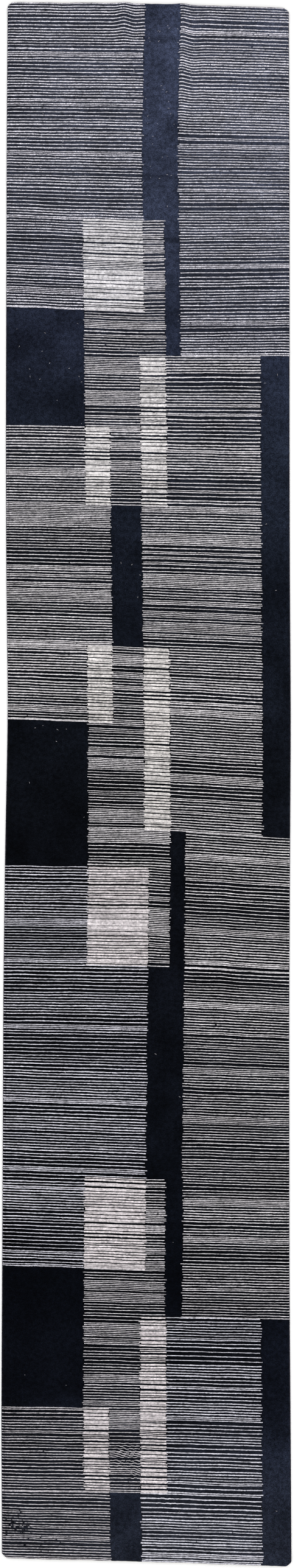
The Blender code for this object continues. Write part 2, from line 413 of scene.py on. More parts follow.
ROW_LINES = (
    0, 239, 340, 390, 470, 556, 713, 798, 915, 957, 1066, 1300, 1402, 1454, 1556, 1649, 1724,
)
KNOTS_ACROSS = Column.RIGHT.value
ROWS_ALONG = ROW_LINES[-1]
# How the ivory rows of a set are dealt.
DEALING_SEED = 401
USUAL_STEP = 3  # rows from one ivory row to the next
DOZENS = 2  # how many dozens of cards are shuffled together
KEEPS_ON = 0.55  # chance that a spacing is followed by its like
DRIFT_KEPT, DRIFT_STEP = 0.85, 0.055  # how the yarn's thickness wanders
ROW_SPREAD = 0.11  # how unlike each other two neighbouring rows are in thickness
# Where two sets cross, neighbouring ivory rows squeeze each other, and every fourth is half buried.
CROWDED_FULLNESS, BURIED_FULLNESS = 0.84, 0.5
CROWDED_RUN = 3


class Spacing(Enum):
    """How often an ivory row comes: in a dozen, how many come after 2, 3, 4 and 5 rows."""

    OPEN = (1, 5, 4, 2)
    EASY = (1, 6, 5, 0)
    STEADY = (1, 8, 2, 1)
    EVEN = (2, 8, 2, 0)
    CLOSE = (6, 4, 2, 0)

    def cards(self) -> list[int]:
        """Lists the spacings to deal from, each as often as it comes."""
        return [2 + place for place, often in enumerate(self.value) for _ in range(DOZENS * often)]


@dataclass(frozen=True)
class Stretch:
    """A part of a stripe set with one spacing, and how full its ivory yarn is."""

    first: int
    last: int
    spacing: Spacing
    fullness: float = 1.0


class StripeSet(Enum):
    """The overlapping rectangles of ivory rows, each a run of stretches."""

    LEFT_HEAD = (Stretch(0, 1, Spacing.EASY, 1.08), Stretch(1, 2, Spacing.EASY, 0.98))
    RIGHT_HEAD = (Stretch(0, 3, Spacing.STEADY, 0.93),)
    MIDDLE_HEAD = (Stretch(1, 2, Spacing.CLOSE, 0.93), Stretch(2, 5, Spacing.CLOSE, 0.89))
    RIGHT_UPPER = (Stretch(3, 5, Spacing.OPEN, 1.1), Stretch(5, 6, Spacing.CLOSE, 0.93),
                   Stretch(6, 8, Spacing.EVEN, 1.0))
    LEFT_UPPER = (Stretch(4, 5, Spacing.EVEN, 1.0), Stretch(5, 6, Spacing.CLOSE, 0.9),
                  Stretch(6, 7, Spacing.EVEN, 1.05))
    MIDDLE_CENTRE = (Stretch(6, 8, Spacing.CLOSE, 0.76), Stretch(8, 9, Spacing.CLOSE, 1.0),
                     Stretch(9, 10, Spacing.CLOSE, 0.82))
    LEFT_LOWER = (Stretch(9, 10, Spacing.EVEN, 0.88), Stretch(10, 12, Spacing.EASY, 0.97))
    RIGHT_LOWER = (Stretch(8, 10, Spacing.EVEN, 0.90), Stretch(10, 13, Spacing.EVEN, 0.83))
    MIDDLE_FOOT = (Stretch(11, 12, Spacing.CLOSE, 0.90), Stretch(12, 15, Spacing.CLOSE, 0.70))
    RIGHT_FOOT = (Stretch(13, 15, Spacing.OPEN, 0.94), Stretch(15, 16, Spacing.OPEN, 1.14))
    LEFT_FOOT = (Stretch(14, 15, Spacing.EASY, 0.81), Stretch(15, 16, Spacing.EVEN, 0.84))

    def rows(self) -> dict[int, float]:
        """Picks this set's ivory rows, the same ones every time.

        A weaver keeps to a spacing for a few rows at a time, so cards are dealt from two dozen and a
        card is often followed by its like. The yarn's thickness drifts too, from hank to hank.

        Returns:
            How full each of its ivory rows is, by row number counted from the head end.
        """
        rng = np.random.default_rng(DEALING_SEED + list(StripeSet).index(self))
        picked: dict[int, float] = {}
        cards: list[int] = []
        step, drift = USUAL_STEP, 0.0
        for stretch in self.value:
            row = ROW_LINES[stretch.first]
            while row < ROW_LINES[stretch.last]:
                drift = DRIFT_KEPT * drift + DRIFT_STEP * rng.standard_normal()
                picked[row] = stretch.fullness * (1 + drift + ROW_SPREAD * rng.standard_normal())
                if not cards:
                    cards = stretch.spacing.cards()
                keeps_on = rng.random() < KEEPS_ON and step in cards
                step = cards.pop(cards.index(step) if keeps_on else int(rng.integers(len(cards))))
                row += step
            cards = []
        picked[ROW_LINES[self.value[-1].last] - 1] = self.value[-1].fullness
        return picked


class Lot(Enum):
    """The lots of ivory yarn, which differ a little in colour and evenness."""

    WORN = "worn"
    PLAIN = "plain"
    COOL = "cool"
    BRIGHT = "bright"
    CREAM = "cream"
    ROSY = "rosy"


@dataclass(frozen=True)
class Band:
    """A run of knot rows with the same first and last knot."""

    first: int
    last: int
    left: Column
    right: Column

    @property
    def rows(self) -> range:
        """The band's row numbers."""
        return range(ROW_LINES[self.first], ROW_LINES[self.last])


@dataclass(frozen=True)
class Field:
    """One field of the design: its bands, head end first, and the stripe sets that cross it."""

    node: str
    bands: tuple[Band, ...]
    sets: tuple[StripeSet, ...] = ()
    lot: Lot = Lot.PLAIN

    @property
    def first_row(self) -> int:
        """The number of the field's first row."""
        return self.bands[0].rows[0]

    @property
    def last_row(self) -> int:
        """The number after that of the field's last row."""
        return self.bands[-1].rows[-1] + 1

    @property
    def slot(self) -> str:
        """The material slot of the field as a whole."""
        return ("pile_navy", "pile_striped", "pile_dense")[len(self.sets)]

    def ivory_rows(self) -> dict[int, float]:
        """Gathers the ivory rows of all the sets that cross the field.

        Returns:
            How full each ivory row is, by row number.
        """
        found: dict[int, float] = {}
        for stripe_set in self.sets:
            for row, fullness in stripe_set.rows().items():
                if self.first_row <= row < self.last_row:
                    # Where both sets want a row, the second takes the one after it.
                    moved = row + 1 if row in found and row + 1 < self.last_row else row
                    found[moved] = max(fullness, found.get(moved, 0.0))
        if len(self.sets) < 2:
            return found
        run = 0
        for row in sorted(found):
            run = run + 1 if row - 1 in found and run < CROWDED_RUN else 0
            squeeze = BURIED_FULLNESS if run == CROWDED_RUN else CROWDED_FULLNESS
            found[row] = (1 + found[row]) / 2 * squeeze
        return found


def cartoon() -> tuple[Field, ...]:
    """Lists every field of the rug, from the head end to the foot."""
    col, sets = Column, StripeSet
    return (
        Field("pile_striped_left_head",
              (Band(0, 1, col.LEFT, col.C), Band(1, 2, col.LEFT, col.A)), (sets.LEFT_HEAD,), Lot.WORN),
        Field("pile_navy_column_head", (Band(0, 1, col.C, col.E), Band(1, 3, col.D, col.E))),
        Field("pile_striped_right_head", (Band(0, 3, col.E, col.RIGHT),), (sets.RIGHT_HEAD,), Lot.WORN),
        Field("pile_dense_block_head",
              (Band(1, 2, col.A, col.C),), (sets.LEFT_HEAD, sets.MIDDLE_HEAD), Lot.BRIGHT),
        Field("pile_striped_middle_head",
              (Band(1, 2, col.C, col.D), Band(2, 3, col.A, col.D), Band(3, 4, col.A, col.C_IN),
               Band(4, 5, col.B, col.C_IN)), (sets.MIDDLE_HEAD,)),
        Field("pile_navy_block_head", (Band(2, 4, col.LEFT, col.A),)),
        Field("pile_dense_right_upper",
              (Band(3, 5, col.C_IN, col.D),), (sets.MIDDLE_HEAD, sets.RIGHT_UPPER), Lot.CREAM),
        Field("pile_striped_right_upper",
              (Band(3, 5, col.D, col.F), Band(5, 6, col.C_IN, col.F), Band(6, 8, col.D, col.F)),
              (sets.RIGHT_UPPER,)),
        Field("pile_navy_border_upper", (Band(3, 8, col.F, col.RIGHT),)),
        Field("pile_striped_left_upper",
              (Band(4, 5, col.LEFT, col.A), Band(5, 6, col.LEFT, col.B),
               Band(6, 7, col.LEFT, col.A)), (sets.LEFT_UPPER,)),
        Field("pile_dense_left_upper",
              (Band(4, 5, col.A, col.B),), (sets.MIDDLE_HEAD, sets.LEFT_UPPER), Lot.CREAM),
        Field("pile_navy_column_upper", (Band(5, 6, col.B, col.C_IN),)),
        Field("pile_dense_left_centre",
              (Band(6, 7, col.A, col.B),), (sets.LEFT_UPPER, sets.MIDDLE_CENTRE), Lot.CREAM),
        Field("pile_dense_right_centre",
              (Band(6, 8, col.C_IN, col.D),), (sets.MIDDLE_CENTRE, sets.RIGHT_UPPER), Lot.CREAM),
        Field("pile_striped_middle_centre",
              (Band(6, 7, col.B, col.C_IN), Band(7, 8, col.A, col.C_IN), Band(8, 9, col.A, col.D),
               Band(9, 10, col.C, col.D)), (sets.MIDDLE_CENTRE,)),
        Field("pile_navy_block_centre", (Band(7, 9, col.LEFT, col.A),)),
        Field("pile_navy_column_lower",
              (Band(8, 10, col.D, col.E), Band(10, 11, col.C, col.E),
               Band(11, 13, col.D_LOW, col.E_LOW))),
        Field("pile_striped_right_lower",
              (Band(8, 11, col.E, col.RIGHT), Band(11, 13, col.E_LOW, col.RIGHT)),
              (sets.RIGHT_LOWER,)),
        Field("pile_dense_block_centre",
              (Band(9, 10, col.A, col.C),), (sets.MIDDLE_CENTRE, sets.LEFT_LOWER), Lot.ROSY),
        Field("pile_striped_left_lower",
              (Band(9, 10, col.LEFT, col.A), Band(10, 11, col.LEFT, col.C),
               Band(11, 12, col.LEFT, col.A)), (sets.LEFT_LOWER,), Lot.COOL),
        Field("pile_dense_block_foot",
              (Band(11, 12, col.A, col.C),), (sets.LEFT_LOWER, sets.MIDDLE_FOOT), Lot.ROSY),
        Field("pile_navy_block_foot", (Band(12, 14, col.LEFT, col.A),)),
        Field("pile_striped_middle_foot",
              (Band(11, 12, col.C, col.D_LOW), Band(12, 13, col.A, col.D_LOW),
               Band(13, 14, col.A, col.C_IN),
               Band(14, 15, col.B, col.C_IN)), (sets.MIDDLE_FOOT,)),
        Field("pile_dense_right_foot",
              (Band(13, 15, col.C_IN, col.D),), (sets.MIDDLE_FOOT, sets.RIGHT_FOOT), Lot.ROSY),
        Field("pile_striped_right_foot",
              (Band(13, 15, col.D, col.F), Band(15, 16, col.C_IN, col.F)), (sets.RIGHT_FOOT,),
              Lot.COOL),
        Field("pile_navy_border_foot", (Band(13, 16, col.F, col.RIGHT),)),
        Field("pile_dense_left_foot",
              (Band(14, 15, col.A, col.B),), (sets.MIDDLE_FOOT, sets.LEFT_FOOT), Lot.ROSY),
        Field("pile_striped_left_foot",
              (Band(14, 15, col.LEFT, col.A), Band(15, 16, col.LEFT, col.B)), (sets.LEFT_FOOT,)),
        Field("pile_navy_column_foot", (Band(15, 16, col.B, col.C_IN),)),
    )


# --------------------------------------------------------------------------------------------------
# How the weaving lies
# --------------------------------------------------------------------------------------------------


@dataclass(frozen=True)
class Patch:
    """A place on the rug with a soft edge."""

    across: float
    from_head: float
    half_width: float
    half_length: float

    def spread(self, across: np.ndarray, from_head: np.ndarray, power: int = 2) -> np.ndarray:
        """How much of the patch is felt at each place.

        Args:
            across: Places across the rug, from its middle.
            from_head: Places along it, from the head end.
            power: How sharply the patch ends. It has to be even.

        Returns:
            A value from 0 to 1 for each place.
        """
        return np.exp(-((across - self.across) / self.half_width) ** power
                      - ((from_head - self.from_head) / self.half_length) ** power)


@dataclass(frozen=True)
class Ripple(Patch):
    """A place where the cloth is pushed along, so its rows bow towards the head end."""

    push: float


@dataclass(frozen=True)
class Parting:
    """A short split where the pile of two neighbouring rows falls apart."""

    across: float
    from_head: float
    half_width: float
    opening: float


@dataclass(frozen=True)
class Crinkle(Patch):
    """A patch where the rows were beaten down unevenly and zigzag."""

    swing: float
    wavelength: float


@dataclass(frozen=True)
class NapPatch(Patch):
    """A patch where the navy nap has been brushed over the ivory rows, which then show as dots."""

    strength: float


@dataclass
class LaidCloth:
    """Carries a point of the square weave to where it lies in the rug."""

    length: float = 4.382
    width: float = 0.800
    taper: float = 0.0246
    side_lean: float = 0.0013
    end_setback: float = 0.0010
    selvedge_radius: float = 0.0027
    clearance: float = 0.0003
    hem_lift: float = 0.0019
    hem_depth: float = 0.024
    hem_ramp: float = 0.020
    corner_draw: float = 0.0045
    corner_draw_length: float = 0.015
    corner_radius: float = 0.013
    station_pitch: float = 0.4
    fine_pitch: float = 0.02
    smoothing: float = 0.12
    frame_slope: float = 1.35  # degrees, the mean slope of the rows in the frame
    fold_limit: float = 1.3  # how far past a corner a point is still folded round, in corner radii
    draw_power: float = 1.7  # how late the corners are drawn in
    # Shares of the half width where the middle's drift starts to give way to a side's.
    left_inner: float = 0.44
    right_inner: float = 0.27
    # Slope of the knot rows in degrees, left of the middle and right of it, a station at a time.
    left_slopes: tuple[float, ...] = (0.3, 0.4, 1.2, 1.3, 0.8, 1.6, 1.8, 1.7, 1.4, 1.6, 1.8, 1.3)
    right_slopes: tuple[float, ...] = (2.1, 1.5, 0.3, 1.2, 1.9, 2.5, 2.7, 2.1, 2.4, 2.3, 1.8, 1.7)
    # Sideways drift in millimetres of the left side, the middle and the right side.
    left_drift: tuple[float, ...] = (-1, -2.5, -2, -2, 0.5, 7, 0, -3.5, -3.5, -4, -5, -1)
    middle_drift: tuple[float, ...] = (-6, -15, -8, -3.5, 1, 7, 8.5, 4.5, 0.5, -1.5, -2, 5)
    right_drift: tuple[float, ...] = (0, 1.5, 1.5, 1, 1.5, 4, 1, -1.5, -1.5, -1.5, 1.5, 3.5)
    # The same for how far the rows were beaten up towards the head.
    left_push: tuple[float, ...] = (2, 2, 7, 1, 4, 8, -4, -2, 2, 5, -4, 4)
    middle_push: tuple[float, ...] = (1, 0, -2, 4, 2, 2, 4, 4, -3, 3, 4, 1)
    right_push: tuple[float, ...] = (2, 3, 8, 6, 2, -2, -3, 0, 3, 12, 5, 0)
    ripples: tuple[Ripple, ...] = (
        Ripple(-0.063, 0.045, 0.017, 0.055, 0.0050),
        Ripple(-0.030, 0.050, 0.015, 0.050, -0.0025),
        Ripple(0.106, 0.140, 0.013, 0.170, 0.0045),
        Ripple(0.140, 0.130, 0.016, 0.150, -0.0022),
        Ripple(0.205, 2.700, 0.030, 0.300, 0.0015),
    )
    middle_blend: float = 0.035
    centre: tuple[float, float] = (0.0, 0.0)
    _stations: dict[str, np.ndarray] = field(default_factory=dict)

    def __post_init__(self) -> None:
        """Smooths the stations and finds where the frame's middle is."""
        places = np.arange(len(self.left_slopes)) * self.station_pitch
        fine = np.arange(0, places[-1] + self.fine_pitch, self.fine_pitch)
        steps = round(2 * self.smoothing / self.fine_pitch)
        reach = np.arange(-steps, steps + 1)
        bell = np.exp(-((reach / (self.smoothing / self.fine_pitch)) ** 2))
        for name in ("left_slopes", "right_slopes", "left_drift", "middle_drift", "right_drift",
                     "left_push", "middle_push", "right_push"):
            line = np.interp(fine, places, getattr(self, name))
            padded = np.pad(line, len(reach) // 2, mode="edge")
            self._stations[name] = np.convolve(padded, bell / bell.sum(), mode="valid")
        self._stations["from_head"] = fine
        low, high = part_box("foundation")
        slope = math.tan(math.radians(self.frame_slope))
        half_x, half_y = self.pile_half_width, self.half_length - self.hem_lift
        corners = [self._woven_corner(x, y, slope) for x in (-half_x, half_x) for y in (-half_y, half_y)]
        xs, ys = zip(*corners)
        self.centre = ((low[0] + high[0] - min(xs) - max(xs)) / 2,
                       (low[1] + high[1] - min(ys) - max(ys)) / 2)

    def _woven_corner(self, across: float, along: float, slope: float) -> tuple[float, float]:
        """Where a corner of the foundation would lie with no drift in it."""
        widening = 1 - self.taper * along / self.length
        return across * widening + self.side_lean * along, along - slope * across

    @property
    def half_length(self) -> float:
        """Half the length along the middle."""
        return self.length / 2

    @property
    def half_width(self) -> float:
        """Half the width at mid-length."""
        return self.width / 2

    @property
    def pile_half_width(self) -> float:
        """Half the width that is knotted."""
        return self.half_width - 2 * self.selvedge_radius - self.clearance

    @property
    def pile_half_length(self) -> float:
        """Half the length that is knotted."""
        return self.half_length - self.end_setback

    @property
    def knot_width(self) -> float:
        """The width of one knot."""
        return 2 * self.pile_half_width / KNOTS_ACROSS

    @property
    def row_pitch(self) -> float:
        """The length that one row of knots takes."""
        return 2 * self.pile_half_length / ROWS_ALONG

    def across(self, knots: np.ndarray) -> np.ndarray:
        """Turns a knot count from the left into a place across the square weave."""
        return knots * self.knot_width - self.pile_half_width

    def along(self, rows: np.ndarray) -> np.ndarray:
        """Turns a row count from the head into a place along the square weave."""
        return self.pile_half_length - rows * self.row_pitch

    def _station(self, name: str, from_head: np.ndarray) -> np.ndarray:
        """Reads one of the smoothed station lines."""
        return np.interp(from_head, self._stations["from_head"], self._stations[name])

    def lay(
        self, across: np.ndarray, along: np.ndarray, up: np.ndarray, lifted: bool = True
    ) -> np.ndarray:
        """Lays points of the square weave down as they lie in the rug.

        Args:
            across: Places across the weave, from its middle.
            along: Places along the weave, from its middle, the head end positive.
            up: Heights over the floor.
            lifted: Whether the points climb on to the turned-under webs.

        Returns:
            The laid points, with x, y and z on the last axis.
        """
        across, along, up = np.broadcast_arrays(across, along, up)
        from_middle = np.abs(along)
        # The corners are rounded off by folding a square of cloth into a quarter disc.
        radius = self.corner_radius
        a = np.maximum(np.abs(across) - (self.half_width - radius), 0) / radius
        b = np.maximum(from_middle - (self.half_length - radius), 0) / radius
        a, b = np.minimum(a, self.fold_limit), np.minimum(b, self.fold_limit)
        across = across - np.sign(across) * radius * a * (1 - np.sqrt(1 - b * b / 2))
        along = along - np.sign(along) * radius * b * (1 - np.sqrt(1 - a * a / 2))
        draw = np.clip((from_middle - self.half_length) / self.corner_draw_length + 1, 0, 1)
        drawn_in = draw ** self.draw_power * self.corner_draw / self.half_width
        widening = 1 - self.taper * along / self.length - drawn_in
        from_head = np.clip(self.half_length - along, 0, self.length)
        share = across / self.half_width
        middle = self._station("middle_drift", from_head)
        side = np.where(share < 0, self._station("left_drift", from_head),
                        self._station("right_drift", from_head))
        inner = np.where(share < 0, self.left_inner, self.right_inner)
        blend = np.clip((np.abs(share) - inner) / (1 - inner), 0, 1)
        x = across * widening + self.side_lean * along + (middle + (side - middle) * blend) * MM
        mid_push = self._station("middle_push", from_head)
        side_push = np.where(share < 0, self._station("left_push", from_head),
                             self._station("right_push", from_head))
        push = mid_push + (side_push - mid_push) * np.clip(np.abs(share), 0, 1)
        # The two slopes meet in the middle of the rug over a short distance.
        bend = self.middle_blend
        right = bend * np.logaddexp(0, across / bend) - bend * math.log(2)
        left = across - right
        y = along - right * np.tan(np.radians(self._station("right_slopes", from_head)))
        y = y - left * np.tan(np.radians(self._station("left_slopes", from_head))) + push * MM
        for ripple in self.ripples:
            y = y + ripple.push * ripple.spread(across, from_head)
        ramp_start = self.half_length - self.hem_depth - self.hem_ramp
        lift = np.clip((from_middle - ramp_start) / self.hem_ramp, 0, 1) * self.hem_lift
        z = up + (lift if lifted else 0)
        return np.stack((x + self.centre[0], y + self.centre[1], z), axis=-1)


@dataclass
class KnotNoise:
    """The unevenness of hand knotting, as fields over every row and knot of the rug."""

    cloth: LaidCloth
    seed: int = 77
    slow_wave: float = 0.40 * MM
    quick_wave: float = 0.18 * MM
    knot_wave: float = 0.18 * MM
    height_slow: float = 0.28 * MM
    height_quick: float = 0.16 * MM
    ivory_uneven: float = 0.22 * MM
    parting_rows: float = 2.5  # how many rows on each side lean away from a parting
    crinkle_shift: float = 0.55  # how far a crinkle turns from one row to the next, in radians
    # How the level of the nap becomes cover: how much a patch adds, where it starts, how steeply.
    patch_weight: float = 1.5
    cover_start: float = 1.9
    cover_slope: float = 0.8
    partings: tuple[Parting, ...] = (
        Parting(-0.100, 0.678, 0.016, 0.0016),
        Parting(-0.072, 0.684, 0.010, 0.0010),
        Parting(0.112, 0.655, 0.010, 0.0012),
    )
    crinkles: tuple[Crinkle, ...] = (
        Crinkle(-0.052, 4.085, 0.040, 0.034, 0.0017, 0.019),
        Crinkle(-0.028, 4.135, 0.022, 0.022, 0.0014, 0.015),
        Crinkle(0.060, 4.210, 0.030, 0.016, 0.0009, 0.022),
    )
    patches: tuple[NapPatch, ...] = (
        NapPatch(0.300, 0.110, 0.115, 0.090, 0.75),
        NapPatch(0.210, 0.060, 0.090, 0.040, 0.5),
        NapPatch(0.255, 0.470, 0.100, 0.045, 0.7),
        NapPatch(0.150, 0.520, 0.060, 0.040, 0.7),
        NapPatch(-0.030, 0.190, 0.030, 0.130, 0.8),
        NapPatch(-0.330, 0.310, 0.080, 0.050, 0.45),
        NapPatch(-0.080, 0.955, 0.090, 0.020, 0.9),
        NapPatch(-0.365, 4.285, 0.070, 0.055, 1.6),
        NapPatch(-0.300, 4.325, 0.100, 0.045, 0.9),
        NapPatch(-0.300, 4.372, 0.110, 0.012, 0.7),
        NapPatch(0.050, 4.330, 0.090, 0.040, 0.5),
    )
    _fields: dict[str, np.ndarray] = field(default_factory=dict)

    def __post_init__(self) -> None:
        """Draws every field once from the seed."""
        rng = np.random.default_rng(self.seed)
        # Each wave hangs together over so many rows and so many knots.
        self._fields["wave"] = (self.slow_wave * self._smooth(rng, 5, 11)
                                + self.quick_wave * self._smooth(rng, 0.8, 2.6)
                                + self.knot_wave * self._smooth(rng, 0.4, 0.55))
        self._fields["height"] = (self.height_slow * self._smooth(rng, 9, 14)
                                  + self.height_quick * self._smooth(rng, 0.8, 2.0))
        self._fields["ivory"] = self.ivory_uneven * self._smooth(rng, 0.3, 0.8)
        self._fields["ivory_width"] = self._smooth(rng, 0.3, 0.55) + 0.5 * self._smooth(rng, 0.5, 4)
        self._fields["cover"] = (0.95 * self._smooth(rng, 0.3, 0.6)
                                 + 0.40 * self._smooth(rng, 0.4, 4))
        self._fields["side"] = self._smooth(rng, 0.7, 30)
        self._add_local_waves()

    def _smooth(self, rng: np.random.Generator, row_reach: float, knot_reach: float) -> np.ndarray:
        """Makes smooth noise with a spread of 1.

        Args:
            rng: The source of chance.
            row_reach: How far the noise hangs together from row to row, in rows.
            knot_reach: The same along a row, in knots.

        Returns:
            A value for each row and knot.
        """
        shape = (ROWS_ALONG + 2, KNOTS_ACROSS + 2)
        noise = np.fft.rfft2(rng.standard_normal(shape))
        rows = np.fft.fftfreq(shape[0])[:, None]
        knots = np.fft.rfftfreq(shape[1])[None, :]
        bell = np.exp(-2 * math.pi**2 * ((rows * row_reach) ** 2 + (knots * knot_reach) ** 2))
        made = np.fft.irfft2(noise * bell, shape)
        return made / made.std()

    def _add_local_waves(self) -> None:
        """Adds the partings and crinkles to the wave of the rows."""
        shape = self._fields["wave"].shape
        rows, knots = np.mgrid[0:shape[0], 0:shape[1]].astype(float)
        across = self.cloth.across(knots)
        from_head = rows * self.cloth.row_pitch
        for parting in self.partings:
            gap = (from_head - parting.from_head) / self.cloth.row_pitch
            spread = np.exp(-((across - parting.across) / parting.half_width) ** 2)
            self._fields["wave"] += (parting.opening * np.sign(gap) * spread
                                     * np.exp(-np.abs(gap) / self.parting_rows))
        for crinkle in self.crinkles:
            turn = 2 * math.pi * across / crinkle.wavelength + self.crinkle_shift * rows
            spread = crinkle.spread(across, from_head, power=4)
            self._fields["wave"] += crinkle.swing * spread * np.sin(turn + np.sin(1.7 * turn))

    def read(self, name: str, rows: np.ndarray, knots: np.ndarray) -> np.ndarray:
        """Reads a field between its rows and knots.

        Args:
            name: Which field.
            rows: Row places, counted from the head.
            knots: Knot places, counted from the left.

        Returns:
            The field there, in the shape the two arguments broadcast to.
        """
        values = self._fields[name]
        rows, knots = np.broadcast_arrays(np.asarray(rows, float), np.asarray(knots, float))
        r = np.clip(rows, 0, values.shape[0] - 1.001)
        k = np.clip(knots, 0, values.shape[1] - 1.001)
        r0, k0 = r.astype(int), k.astype(int)
        past_row, past_knot = r - r0, k - k0
        upper = values[r0, k0] * (1 - past_knot) + values[r0, k0 + 1] * past_knot
        lower = values[r0 + 1, k0] * (1 - past_knot) + values[r0 + 1, k0 + 1] * past_knot
        return upper * (1 - past_row) + lower * past_row

    def lay(
        self, rows: np.ndarray, knots: np.ndarray, up: np.ndarray,
        reach_across: np.ndarray | float = 0.0, reach_along: np.ndarray | float = 0.0,
    ) -> np.ndarray:
        """Lays down points given by row and knot, with the rows' own wave in them.

        Args:
            rows: Row places, counted from the head.
            knots: Knot places, counted from the left.
            up: Heights over the floor.
            reach_across: Extra reach to the right.
            reach_along: Extra reach towards the head.

        Returns:
            The laid points, with x, y and z on the last axis.
        """
        along = self.cloth.along(rows) + reach_along - self.read("wave", rows, knots)
        return self.cloth.lay(self.cloth.across(knots) + reach_across, along, up)

    def brushed_over(self, rows: np.ndarray, knots: np.ndarray) -> np.ndarray:
        """How far the navy nap covers an ivory row, from 0 to 1.

        Args:
            rows: Row places.
            knots: Knot places.

        Returns:
            The cover at each place.
        """
        across = self.cloth.across(np.asarray(knots, float))
        from_head = np.asarray(rows, float) * self.cloth.row_pitch
        reach = np.zeros(np.broadcast(rows, knots).shape)
        for patch in self.patches:
            reach = np.maximum(reach, patch.strength * patch.spread(across, from_head))
        level = self.read("cover", rows, knots) + self.patch_weight * reach
        return np.clip((level - self.cover_start) * self.cover_slope, 0, 1)


# --------------------------------------------------------------------------------------------------
# Finishes
# --------------------------------------------------------------------------------------------------


@dataclass(frozen=True)
class Wool:
    """Hand-spun wool in cut pile: matt, with the soft mottling of tufts that lean different ways.

    The colour is a run of tones from the head to the foot.
    """

    name: str
    tones: tuple[tuple[float, str], ...]
    length: float = 4.40
    half_width: float = 0.40
    tuft_size: float = 2.5 * MM  # one knot
    lock_size: float = 11 * MM  # a few knots whose tips cling together
    patch_size: float = 150 * MM
    tuft_depth: float = 0.30
    lock_depth: float = 0.14
    patch_depth: float = 0.16
    row_drift: float = 16 * MM
    row_depth: float = 0.0  # how much the shade changes from row to row
    row_slope: float = 0.0236
    row_stretch: float = 20.0  # how many times longer than wide the marks along a row are
    fibre_size: float = 1.5 * MM  # clumps of fibre, as single fibres are far too fine to show
    # How wide a painted crease shade bar is.
    crease_width: float = 9 * MM
    contrast: float = 0.16
    lift: float = 1.0  # how far the light tufts stand out, beside the dark ones
    side_shades: tuple[float, float] = (1.0, 1.0)  # how light the left and right sides are
    saturation: float = 1.0
    lightness: float = 1.0
    # Painted shade: darker bars across, each given by a place from the head in metres and a depth.
    creases: tuple[tuple[float, float], ...] = ()
    bump: float = 0.5 * MM
    bump_strength: float = 0.7
    sheen: float = 0.02
    roughness: float = 0.95
    specular: float = 0.02

    def make(self) -> bpy.types.Material:
        """Builds the material.

        Returns:
            The finished material.
        """
        material, tree, shader = start_material(self.name, {
            "Roughness": self.roughness, "Specular IOR Level": self.specular,
            "Sheen Weight": self.sheen, "Sheen Roughness": 0.5})
        place = add_node(tree, "ShaderNodeTexCoord").outputs["Object"]
        axes = add_node(tree, "ShaderNodeSeparateXYZ", {0: place}).outputs
        share = ranged(tree, axes["Y"], (self.length / 2, -self.length / 2), (0.0, 1.0))
        tone = add_node(tree, "ShaderNodeValToRGB", {0: share}, stops=[
            (from_head / self.length, linear(colour)) for from_head, colour in self.tones])
        # The pile is darker towards the left side and lighter towards the right.
        shade = ranged(tree, axes["X"], (-self.half_width, self.half_width), self.side_shades)
        # Each row was spun from its own length of yarn, so it is drawn out along the slope of the rows.
        fall = maths(tree, "MULTIPLY_ADD", axes["X"], self.row_slope, axes["Y"])
        drawn_out = maths(tree, "DIVIDE", axes["X"], self.row_stretch)
        on_row = add_node(tree, "ShaderNodeCombineXYZ", {"X": drawn_out, "Y": fall}).outputs[0]
        for where, size, depth, detail in ((place, self.tuft_size, self.tuft_depth, 2.0),
                                           (place, self.lock_size, self.lock_depth, 2.0),
                                           (place, self.patch_size, self.patch_depth, 3.0),
                                           (on_row, self.row_drift, self.row_depth, 4.0)):
            if depth:
                noise = add_node(tree, "ShaderNodeTexNoise", {
                    "Vector": where, "Scale": 1 / size, "Detail": detail, "Roughness": 0.6})
                uneven = ranged(tree, noise.outputs[0], (0.5 - self.contrast, 0.5 + self.contrast),
                                (1 - depth, 1 + self.lift * depth))
                shade = maths(tree, "MULTIPLY", shade, uneven)
        for from_head, depth in self.creases:
            # Painted shade: a soft darker bar straight across, standing in for the shade of a fold
            # crease in pile that lies flat.
            off = maths(tree, "ABSOLUTE", maths(tree, "SUBTRACT", share, from_head / self.length))
            reach = self.crease_width / self.length
            bar = ranged(tree, off, (0.2 * reach, 1.4 * reach), (1 - depth, 1.0),
                         interpolation_type="SMOOTHSTEP")
            shade = maths(tree, "MULTIPLY", shade, bar)
        colour = add_node(tree, "ShaderNodeVectorMath", {
            0: tone.outputs[0], "Scale": shade}, operation="SCALE").outputs[0]
        # A lightness below 1 is painted shade, as in the navy between ivory rows.
        tint = add_node(tree, "ShaderNodeHueSaturation", {
            "Saturation": self.saturation, "Value": self.lightness, "Color": colour})
        tree.links.new(tint.outputs[0], shader.inputs["Base Color"])
        fibres = add_node(tree, "ShaderNodeTexNoise", {
            "Vector": place, "Scale": 1 / self.fibre_size, "Detail": 3.0})
        roughen(tree, shader, fibres.outputs[0], self.bump, self.bump_strength)
        return material


